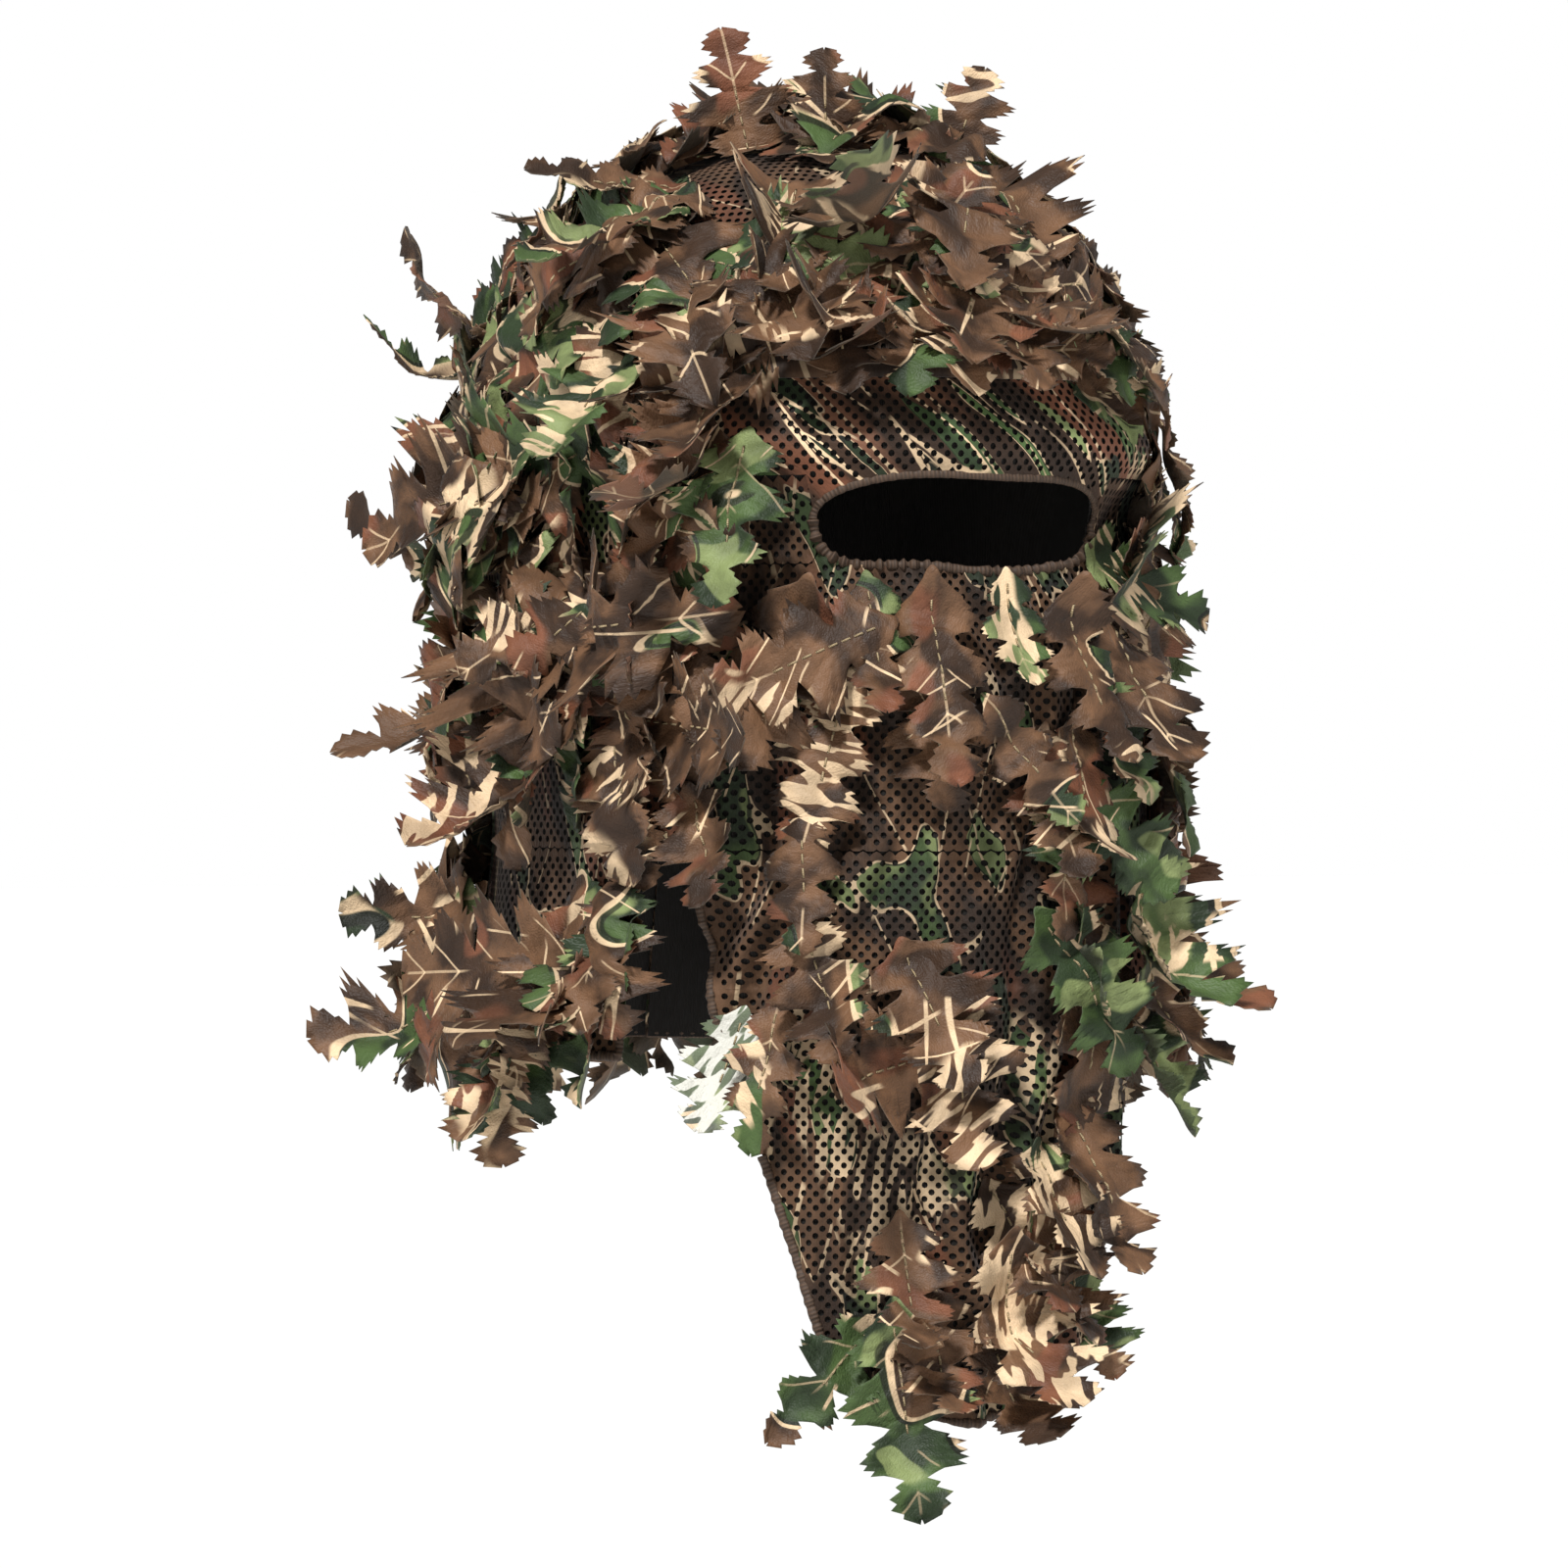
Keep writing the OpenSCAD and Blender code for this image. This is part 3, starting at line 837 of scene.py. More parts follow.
@dataclass(frozen=True)
class Net:
    """Knitted net: a diagonal lattice of round holes, one layer thick."""

    form: HoodForm
    material: bpy.types.Material
    # Near-black cloth behind the net's holes: painted shade for the unlit inside of the hood.
    backing: bpy.types.Material
    pitch: float = 4.2 * MM
    hole: float = 0.98 * MM
    backing_step: float = 2.2 * MM
    corners: tuple[tuple[int, int], ...] = (
        (2, 0), (1, 1), (0, 2), (-1, 1), (-2, 0), (-1, -1), (0, -2), (1, -1),
    )

    def panel(self, cut: Cut, place: Wrap) -> list[bpy.types.Object]:
        """Makes one panel: the printed net, and a fine near-black sheet behind it that shows in its holes as
        painted shade of the hood's unlit inside.
        """
        return [self.weave(cut, place), self.back(cut, place)]

    def back(self, cut: Cut, place: Wrap) -> bpy.types.Object:
        """Cuts the near-black sheet behind one panel: painted shade that stands for the unlit inside of the
        hood, seen through the holes.

        Args:
            cut: The panel's outline on the flat cloth.
            place: Turns flat places into angles and depths.

        Returns:
            The dark sheet.
        """
        columns, rows = (max(6, math.ceil(length / self.backing_step)) for length in cut.size)
        share, level = np.meshgrid(np.linspace(0, 1, columns + 1), np.linspace(0, 1, rows + 1))
        share, level = share.ravel(), level.ravel()
        drop = cut.drop[0] + cut.size[1] * level
        low, high = cut.sides(drop)
        top, bottom = cut.ends(low + (high - low) * share)
        drop = np.clip(drop, np.maximum(top, cut.drop[0]), np.minimum(bottom, cut.drop[1]))
        low, high = cut.sides(drop)
        flat = np.stack([low + (high - low) * share, drop], axis=-1)
        angle, depth = place(flat[:, 0], flat[:, 1])
        points = self.form.place(angle, depth, self.form.backing_lift, cut.skirt)
        faces = [(a, d, c, b) for a, b, c, d in quads(rows + 1, columns + 1)]
        piece = new_object(cut.name.replace("_net", "_backing"), points, faces)
        write_print(piece, flat)
        corners = flat[np.array(faces)]
        doubled = np.cross(corners[:, 2] - corners[:, 0], corners[:, 3] - corners[:, 1])
        self._declare(piece, cut, self.backing, float(np.abs(doubled).sum()) / 2)
        return piece

    def _declare(self, layer: bpy.types.Object, cut: Cut, material: bpy.types.Material, area: float) -> None:
        """Dresses one layer of a panel and hides the CAD nodes that it replaces.

        Args:
            layer: The layer.
            cut: The panel's outline.
            material: The layer's cloth.
            area: How much cloth it has; not used.
        """
        layer.data.materials.append(material)
        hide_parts(*cut.nodes)
        cut.size
        min(area, cut.size[0] * cut.size[1])

    def weave(self, cut: Cut, place: Wrap) -> bpy.types.Object:
        """Knits one panel.

        Args:
            cut: The panel's outline on the flat cloth.
            place: Turns flat places into angles and depths.

        Returns:
            The panel.
        """
        keys: dict[tuple[int, int], int] = {}
        points: list[tuple[float, float]] = []
        faces: list[tuple[int, ...]] = []
        for cell in self._cells(cut):
            self._knit_cell(cut, cell, keys, points, faces)
        flat = self._trimmed(cut, np.array(points))
        angle, depth = place(flat[:, 0], flat[:, 1])
        points = self.form.place(angle, depth, self.form.net_lift, cut.skirt)
        first = points[list(faces[0])]
        out = self.form.normal(np.radians(angle[faces[0][0]]), depth[faces[0][0]], cut.skirt)
        if np.cross(first[1] - first[0], first[2] - first[0]) @ out < 0:
            faces = [face[::-1] for face in faces]
        panel = new_object(cut.name, points, faces)
        cosine, sine = math.cos(math.radians(cut.turn)), math.sin(math.radians(cut.turn))
        write_print(panel, flat @ np.array([[cosine, sine], [-sine, cosine]]))
        holes = sum(len(face) == 4 for face in faces) / 8
        cloth = len(faces) / 8 * self.pitch**2 / 2 - holes * 2 * math.sqrt(2) * self.hole**2
        self._declare(panel, cut, self.material, cloth)
        LOG.info("%s: %d holes", cut.name, holes)
        return panel

    def _cells(self, cut: Cut) -> Iterable[tuple[int, int]]:
        """Centres of the cells inside a panel, in quarter pitches."""
        quarter = self.pitch / 4
        columns, rows = (
            range(math.floor(low / quarter / 2) - 2, math.ceil(high / quarter / 2) + 3)
            for low, high in (cut.across, cut.drop)
        )
        for column in columns:
            for row in rows:
                if (column + row) % 2:
                    continue
                if self._inside(cut, column * 2 * quarter, row * 2 * quarter):
                    yield column * 2, row * 2

    @staticmethod
    def _inside(cut: Cut, across: float, drop: float) -> bool:
        """Whether a flat place lies inside a panel."""
        low, high = cut.sides(np.array([drop]))
        top, bottom = cut.ends(np.array([across]))
        return bool(low[0] <= across <= high[0] and top[0] <= drop <= bottom[0])

    def _knit_cell(
        self,
        cut: Cut,
        cell: tuple[int, int],
        keys: dict[tuple[int, int], int],
        points: list[tuple[float, float]],
        faces: list[tuple[int, ...]],
    ) -> None:
        """Adds one cell: eight bars round a hole, or a closed cell where the panel's edge cuts it.

        Args:
            cut: The panel's outline.
            cell: The cell's centre, in quarter pitches.
            keys: Numbers of the corners made so far, which neighbours share.
            points: Every point so far, which grows.
            faces: Every face so far, which grows.
        """
        (column, row), quarter = cell, self.pitch / 4
        rim, whole = [], True
        for across, drop in self.corners:
            key = (column + across, row + drop)
            if key not in keys:
                keys[key] = len(points)
                points.append((key[0] * quarter, key[1] * quarter))
            whole = whole and self._inside(cut, key[0] * quarter, key[1] * quarter)
            rim.append(keys[key])
        first = len(points)
        if not whole:
            points.append((column * quarter, row * quarter))
            faces.extend((first, rim[i], rim[(i + 1) % 8]) for i in range(8))
            return
        for i in range(8):
            turn = i * math.tau / 8
            points.append(
                (column * quarter + self.hole * math.cos(turn), row * quarter + self.hole * math.sin(turn))
            )
        faces.extend((first + i, rim[i], rim[(i + 1) % 8], first + (i + 1) % 8) for i in range(8))

    @staticmethod
    def _trimmed(cut: Cut, flat: np.ndarray) -> np.ndarray:
        """Pulls what reaches past a panel's edge back onto the edge."""
        low, high = cut.sides(flat[:, 1])
        across = np.clip(flat[:, 0], low, high)
        top, bottom = cut.ends(across)
        return np.stack([across, np.clip(flat[:, 1], top, bottom)], axis=-1)

    def barrel(self, across: np.ndarray, drop: np.ndarray) -> tuple[np.ndarray, np.ndarray]:
        """Wraps flat cloth round the head."""
        return np.degrees(across / self.form.mean_radius), drop

    def span(self, degrees: float) -> float:
        """Flat width of an angle round the head."""
        return math.radians(degrees) * self.form.mean_radius


@dataclass
class HoodNets:
    """The hood's net panels."""

    form: HoodForm
    net: Net
    brow_print: bpy.types.Material

    def build(self) -> None:
        """Knits every panel and hangs the crown, side, temple, brow and face panels on the hood."""
        form = self.form
        for side in Side:
            self._crown(side)
            self._plain("side", side, form.face_angle, 180, form.crown_seam, form.chin)
            self._plain("temple", side, form.slot_angle, form.face_angle, form.slot_top, form.slot_bottom)
            self._skirt(side)
        self._brow()
        self._face()
        self._bib()

    @staticmethod
    def _strip(low: float, high: float) -> Limits:
        """Side or end edges that are the same all along."""
        return lambda at: (np.full_like(at, low), np.full_like(at, high))

    def _crown(self, side: Side) -> None:
        """Half of the crown, cut from the round and sewn down the centre."""
        form = self.form
        depths = np.linspace(0, form.crown_seam, 400)
        reach = form.half_width * form.swell(depths)
        rings = math.pi * (reach[1:] + reach[:-1]) * np.hypot(np.diff(reach), np.diff(depths))
        arc = np.concatenate([[0], np.sqrt(np.cumsum(rings) / math.pi)])
        rim = float(arc[-1])
        long_front = form.front_depth / form.half_width
        long_back = form.back_depth / form.half_width

        def place(across: np.ndarray, drop: np.ndarray) -> tuple[np.ndarray, np.ndarray]:
            """Lays the flat round over the dome."""
            along = np.where(drop < 0, drop / long_front, drop / long_back)
            return np.degrees(np.arctan2(across, -along)), np.interp(np.hypot(across, along), arc, depths)

        def edges(along: np.ndarray) -> tuple[np.ndarray, np.ndarray]:
            """The centre seam on one side and the round rim on the other."""
            squeezed = np.where(along < 0, along / long_front, along / long_back)
            out = np.sqrt(np.maximum(rim**2 - squeezed**2, 0))
            return (np.zeros_like(out), out) if side is Side.LEFT else (-out, np.zeros_like(out))

        wide = (0.0, rim) if side is Side.LEFT else (-rim, 0.0)
        name = f"crown_{side.word}"
        cut = Cut(
            f"{name}_net", (name,), wide, (-rim * long_front, rim * long_back), edges, self._strip(-1.0, 1.0)
        )
        self._hang(self.net.panel(cut, place))

    def _panel(
        self,
        name: str,
        nodes: tuple[str, ...],
        low: float,
        high: float,
        top: float,
        bottom: float,
        **extra: object,
    ) -> list[bpy.types.Object]:
        """A plain panel between two angles and two depths.

        Args:
            name: The piece's name.
            nodes: The CAD nodes that it replaces.
            low: Its first angle.
            high: Its last angle.
            top: Its upper depth.
            bottom: Its lower depth.
            extra: Other fields of the cut, in place of the plain ones.

        Returns:
            The panel's layers, riding on no body yet.
        """
        across = (self.net.span(low), self.net.span(high))
        fields = {
            "name": name, "nodes": nodes, "across": across, "drop": (top, bottom),
            "sides": self._strip(*across), "ends": self._strip(top, bottom),
        }
        return self.net.panel(Cut(**{**fields, **extra}), self.net.barrel)

    @staticmethod
    def _hang(layers: Sequence[bpy.types.Object]) -> None:
        """Lets a panel's layers ride on the hood."""
        for layer in layers:
            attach(layer, Body.HOOD.value)

    @staticmethod
    def _bend(
        layers: Sequence[bpy.types.Object], first: Body, second: Body, start: Vector, end: Vector
    ) -> None:
        """Bakes the place of each of a panel's layers into its mesh.

        Args:
            layers: The panel's layers.
            first: Not used.
            second: Not used.
            start: Not used.
            end: Not used.
        """
        for layer in layers:
            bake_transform(layer)

    def _plain(self, kind: str, side: Side, near: float, far: float, top: float, bottom: float) -> None:
        """A plain panel on one side of the hood.

        Args:
            kind: What its name starts with.
            side: The side that it is on.
            near: Its angle from the nose to its front edge.
            far: The angle to its back edge.
            top: Its upper depth.
            bottom: Its lower depth.
        """
        angles = sorted((side.value * near, side.value * far))
        name = f"{kind}_{side.word}"
        self._hang(self._panel(f"{name}_net", (name,), *angles, top, bottom))

    def _slot_edge(self, across: np.ndarray, upper: bool) -> np.ndarray:
        """Depth of the slot's edge, and of the seam beside it, at places on the flat cloth."""
        form = self.form
        inside = np.abs(across) < self.net.span(form.slot_angle)
        edge = form.slot_edge(np.degrees(across / form.mean_radius), upper)
        return np.where(inside, edge, form.slot_top if upper else form.slot_bottom)

    def _brow(self) -> None:
        """The brow band, whose lower edge is the top of the slot."""
        form, wide = self.form, self.form.face_angle

        def ends(across: np.ndarray) -> tuple[np.ndarray, np.ndarray]:
            """The crown seam above, the slot's edge below."""
            return np.full_like(across, form.crown_seam), self._slot_edge(across, True)

        panel = self._panel(
            "brow_net", ("brow_band",), -wide, wide, form.crown_seam, form.slot_middle, ends=ends, turn=48.0
        )
        panel[0].data.materials[0] = self.brow_print
        self._hang(panel)

    def _face(self) -> None:
        """The pleated face panel, from the slot down to the chin."""
        form, wide = self.form, self.form.face_angle

        def ends(across: np.ndarray) -> tuple[np.ndarray, np.ndarray]:
            """The slot's edge above, the chin below."""
            return self._slot_edge(across, False), np.full_like(across, form.chin)

        panel = self._panel("face_net", ("face_panel",), -wide, wide, form.slot_middle, form.chin, ends=ends)
        self._hang(panel)

    def _skirt(self, side: Side) -> None:
        """Half of the neck skirt, whose front corner folds back on a diagonal."""
        form = self.form
        angles = sorted((side.value * form.skirt_angle, side.value * 180))
        names = (f"skirt_{side.word}", f"flap_{side.word}")
        panel = self._panel(
            f"skirt_{side.word}_net", names, *angles, form.chin, form.skirt_hem, skirt=True
        )
        middle = side.value * (form.skirt_angle + form.fold_angle) / 2
        level = (form.chin + form.skirt_hem) / 2 + 3 * MM
        high = Vector(form.place(side.value * form.skirt_angle, form.chin + form.slit_drop, skirt=True))
        low = Vector(form.place(side.value * form.fold_angle, form.skirt_hem, skirt=True))
        centre = Vector(form.place(middle, level, skirt=True))
        out = Vector(form.normal(np.radians(middle), np.array(level), True))
        away = (low - high).normalized().cross(out) * side.value
        toward_corner = away if away.z < 0 else -away
        reach = toward_corner * 5 * MM
        self._bend(panel, Body.HOOD, Body[f"FLAP_{side.name}"], centre - reach, centre + reach)

    def _bib(self) -> None:
        """The hanging bib in two lengths, each of which crosses one of the bib's two hinges."""
        form = self.form
        meet = (form.chin + form.bib_fold) / 2
        meet = round(meet / self.net.pitch) * self.net.pitch

        def sides(depth: np.ndarray) -> tuple[np.ndarray, np.ndarray]:
            """The bib narrows as it hangs."""
            half = np.radians(form.bib_angle(depth)) * form.mean_radius
            return -half, half

        def tip(across: np.ndarray) -> tuple[np.ndarray, np.ndarray]:
            """The rounded lower edge."""
            return np.full_like(across, meet), form.bib_end(np.degrees(across / form.mean_radius))

        wide = form.face_angle - 1
        upper = self._panel("bib_upper_net", ("bib_upper",), -wide, wide, form.chin, meet, sides=sides)
        chin = Vector(form.base(np.zeros(1), np.array([form.chin]), False)[0])
        self._bend(upper, Body.HOOD, Body.BIB_TOP, chin, chin - Vector((0, 0, 14 * MM)))
        narrow = float(form.bib_angle(np.array(meet)))
        lower = self._panel(
            "bib_lower_net", ("bib_lower",), -narrow, narrow, meet, form.bib_tip, sides=sides, ends=tip
        )
        fold = Vector(form.base(np.zeros(1), np.array([form.bib_fold]), False)[0])
        half = Vector((0, 0, 9 * MM))
        self._bend(lower, Body.BIB_TOP, Body.BIB_TIP, fold + half, fold - half)


# Leaves

Profile = tuple[tuple[float, float], ...]


@dataclass(frozen=True)
class Pose:
    """How one leaf lies: where it is sewn on, which way it points and how it curls."""

    angle: float
    depth: float
    heading: float = 0.0
    tilt: float = 14.0
    length: float = 66 * MM
    width: float = 42 * MM
    bend: float = 15.0
    curl: float = 12.0
    crease: float = 0.2
    twist: float = 0.0
    sewn_at: float = 0.12
    lift: float = 4.5 * MM
    tone: float = 0.35
    crumple: float = 0.85
    flipped: bool = False
    skirt: bool = False


@dataclass(frozen=True)
class LeafCut:
    """The die that the leaves are stamped with: three broad ragged lobes a side and a barbed tip."""

    lobe: Profile = (
        (0.00, 0.34), (0.09, 0.46), (0.16, 0.78), (0.23, 0.68), (0.30, 1.00), (0.37, 0.87), (0.45, 1.13),
        (0.53, 0.95), (0.60, 1.07), (0.68, 0.84), (0.76, 0.92), (0.84, 0.58), (0.93, 0.42),
    )
    tip: Profile = (
        (0.795, 0.40), (0.82, 0.80), (0.84, 0.66), (0.87, 1.10), (0.895, 0.86), (0.92, 1.02), (0.945, 0.62),
        (0.965, 0.66), (1.0, 0.06),
    )
    starts: tuple[float, ...] = (0.055, 0.30, 0.56, 0.79)
    lobe_width: tuple[float, ...] = (0.78, 1.0, 0.82)
    tip_width: float = 0.46
    sweep: float = 0.045
    columns: tuple[float, ...] = (-1.0, -0.68, -0.34, 0.0, 0.34, 0.68, 1.0)

    def edge(self, rng: random.Random) -> list[tuple[float, float]]:
        """One side's ragged edge.

        Args:
            rng: The source of its small differences.

        Returns:
            Places along the midrib, and the reach there as a share of the half width.
        """
        rows = [(0.0, 0.10), (0.03, 0.16)]
        for start, end, width in zip(self.starts, self.starts[1:], self.lobe_width):
            size = width * rng.uniform(0.80, 1.12)
            for share, reach in self.lobe:
                jag = rng.uniform(0.92, 1.08)
                rows.append((start + (end - start) * share + self.sweep * (reach - 0.4), size * reach * jag))
        return rows + [(share, self.tip_width * reach * rng.uniform(0.9, 1.1)) for share, reach in self.tip]

    def flat(self, rng: random.Random) -> tuple[np.ndarray, list[tuple[int, ...]]]:
        """Cuts one leaf flat.

        Args:
            rng: The source of its small differences.

        Returns:
            Places as shares of length and half width, and faces.
        """
        right, left = self.edge(rng), self.edge(rng)
        places = []
        for (share_r, reach_r), (share_l, reach_l) in zip(right, left):
            middle = (share_r + share_l) / 2 - self.sweep * 0.5
            for column in self.columns:
                share, reach = (share_l, reach_l) if column < 0 else (share_r, reach_r)
                out = abs(column)
                places.append((middle + (share - middle) * out**1.5, column * reach))
        return np.array(places), quads(len(right), len(self.columns))


@dataclass(frozen=True)
class Crumple:
    """Creases and ripples that stand off one leaf's smooth surface."""

    folds: np.ndarray
    ripples: np.ndarray

    @classmethod
    def pick(cls, rng: random.Random, amount: float) -> Crumple:
        """Draws a leaf's creases.

        Args:
            rng: The source of its differences.
            amount: 0 for an ironed leaf, 1 for a badly creased one.

        Returns:
            The creases.
        """
        folds = [
            (rng.uniform(0, math.tau), rng.uniform(3, 17) * MM, rng.uniform(-0.95, 1.05) * amount)
            for _ in range(4)
        ]
        ripples = [
            (
                rng.uniform(0, math.tau), math.tau / (rng.uniform(11, 30) * MM), rng.uniform(0, math.tau),
                rng.uniform(0.3, 1.3) * MM * amount,
            )
            for _ in range(4)
        ]
        return cls(np.array(folds), np.array(ripples))

    def height(self, along: np.ndarray, across: np.ndarray) -> np.ndarray:
        """How far the creases stand off at places measured from the leaf's middle."""
        total = np.zeros_like(along)
        for turn, distance, slope in self.folds:
            past = along * math.cos(turn) + across * math.sin(turn) - distance
            total += slope * 0.5 * (past + np.sqrt(past**2 + (1.2 * MM) ** 2))
        for turn, rate, phase, size in self.ripples:
            total += size * np.sin((along * math.cos(turn) + across * math.sin(turn)) * rate + phase)
        return total


class LeafShape:
    """One leaf's curled surface over the hood."""

    def __init__(self, form: HoodForm, pose: Pose, crumple: Crumple) -> None:
        """Finds where the leaf is sewn on and its three directions there."""
        self.pose = pose
        self.crumple = crumple
        angle, depth = np.radians(pose.angle), np.array(pose.depth)
        self.out = form.normal(angle, depth, pose.skirt)
        lower = form.base(angle, depth + 1 * MM, pose.skirt)
        down = lower - form.base(angle, np.maximum(depth - 0.2 * MM, 1e-6), pose.skirt)
        down = down - self.out * np.dot(down, self.out)
        down = down / np.linalg.norm(down)
        around = np.cross(self.out, down)
        turn = math.radians(pose.heading)
        self.ahead = math.cos(turn) * down + math.sin(turn) * around
        self.across = np.cross(self.out, self.ahead)
        self.root = form.place(pose.angle, pose.depth, pose.lift, pose.skirt)

    def place(self, along: np.ndarray, across: np.ndarray) -> np.ndarray:
        """Points of the curled leaf.

        Args:
            along: Distances from the root.
            across: Distances from the midrib.

        Returns:
            One row of three for each place.
        """
        pose = self.pose
        start = math.radians(pose.tilt)
        rate = math.radians(pose.bend) / pose.length
        rate = rate if abs(rate) > 0.2 else 0.2
        run = along - pose.sewn_at * pose.length
        pitch = start + rate * run
        ahead = (np.sin(pitch) - math.sin(start)) / rate
        rise = -(np.cos(pitch) - math.cos(start)) / rate
        spine = self.root + np.outer(ahead, self.ahead) + np.outer(rise, self.out)
        upright = np.outer(-np.sin(pitch), self.ahead) + np.outer(np.cos(pitch), self.out)
        lean = math.radians(pose.twist) * run / pose.length
        side = np.cos(lean)[:, None] * self.across + np.sin(lean)[:, None] * upright
        upright = np.cos(lean)[:, None] * upright - np.sin(lean)[:, None] * self.across
        curl = pose.curl if abs(pose.curl) > 0.5 else 0.5
        wide = np.sin(curl * across) / curl
        high = (1 - np.cos(curl * across)) / curl + pose.crease * np.abs(across)
        high = high + self.crumple.height(along - pose.length * 0.4, across)
        return spine + side * wide[:, None] + upright * high[:, None]


@dataclass(frozen=True)
class Seat:
    """Where a packed leaf is sewn on, and its size."""

    angle: float
    depth: float
    heading: float
    length: float


@dataclass(frozen=True)
class SeatReader:
    """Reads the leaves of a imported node: each is a flat plate with a blunt root and a sharp tip."""

    form: HoodForm

    def read(self, node: str) -> list[Seat]:
        """The seats of every leaf in a node, from the top down."""
        mesh = bmesh.new()
        mesh.from_mesh(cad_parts[node].data)
        bmesh.ops.remove_doubles(mesh, verts=mesh.verts, dist=0.02 * MM)
        seats = [self._seat(island) for island in self._islands(mesh)]
        mesh.free()
        return sorted(seats, key=lambda seat: (round(seat.depth, 3), seat.angle))

    @staticmethod
    def _islands(mesh: bmesh.types.BMesh) -> list[np.ndarray]:
        """Points of each separate solid in a mesh."""
        seen: set[bmesh.types.BMVert] = set()
        islands = []
        for start in mesh.verts:
            if start in seen:
                continue
            seen.add(start)
            queue, found = [start], []
            while queue:
                vert = queue.pop()
                found.append(vert.co[:])
                for edge in vert.link_edges:
                    other = edge.other_vert(vert)
                    if other not in seen:
                        seen.add(other)
                        queue.append(other)
            islands.append(np.array(found))
        return islands

    def _seat(self, points: np.ndarray) -> Seat:
        """Finds the root, which has twice the corners that the tip has, and where the leaf points."""
        centre = points.mean(axis=0)
        axis = np.linalg.svd(points - centre)[2][0]
        along = (points - centre) @ axis
        low = points[along < along.min() + 0.4 * MM]
        high = points[along > along.max() - 0.4 * MM]
        root, tip = (low, high) if len(low) > len(high) else (high, low)
        root, tip = Vector(root.mean(axis=0)), Vector(tip.mean(axis=0))
        angle, depth = self.form.spot(root)
        far_angle, far_depth = self.form.spot(tip)
        around = math.radians((far_angle - angle + 180) % 360 - 180) * self.form.mean_radius
        heading = math.degrees(math.atan2(around, max(far_depth - depth, 1 * MM)))
        return Seat(angle, depth, heading, (tip - root).length)


@dataclass(frozen=True)
class Zone:
    """A group of leaves that share a node, and how they lie."""

    node: str
    body: Body
    tone: float = 0.45
    stitches: str | None = None
    layers: int = 3
    spread: float = 65.0
    tilt: tuple[float, float] = (6.0, 34.0)
    raised: float = 0.26
    size: float = 1.08
    reach: float = 34 * MM
    skirt: bool = False
    placed: tuple[Pose, ...] = ()


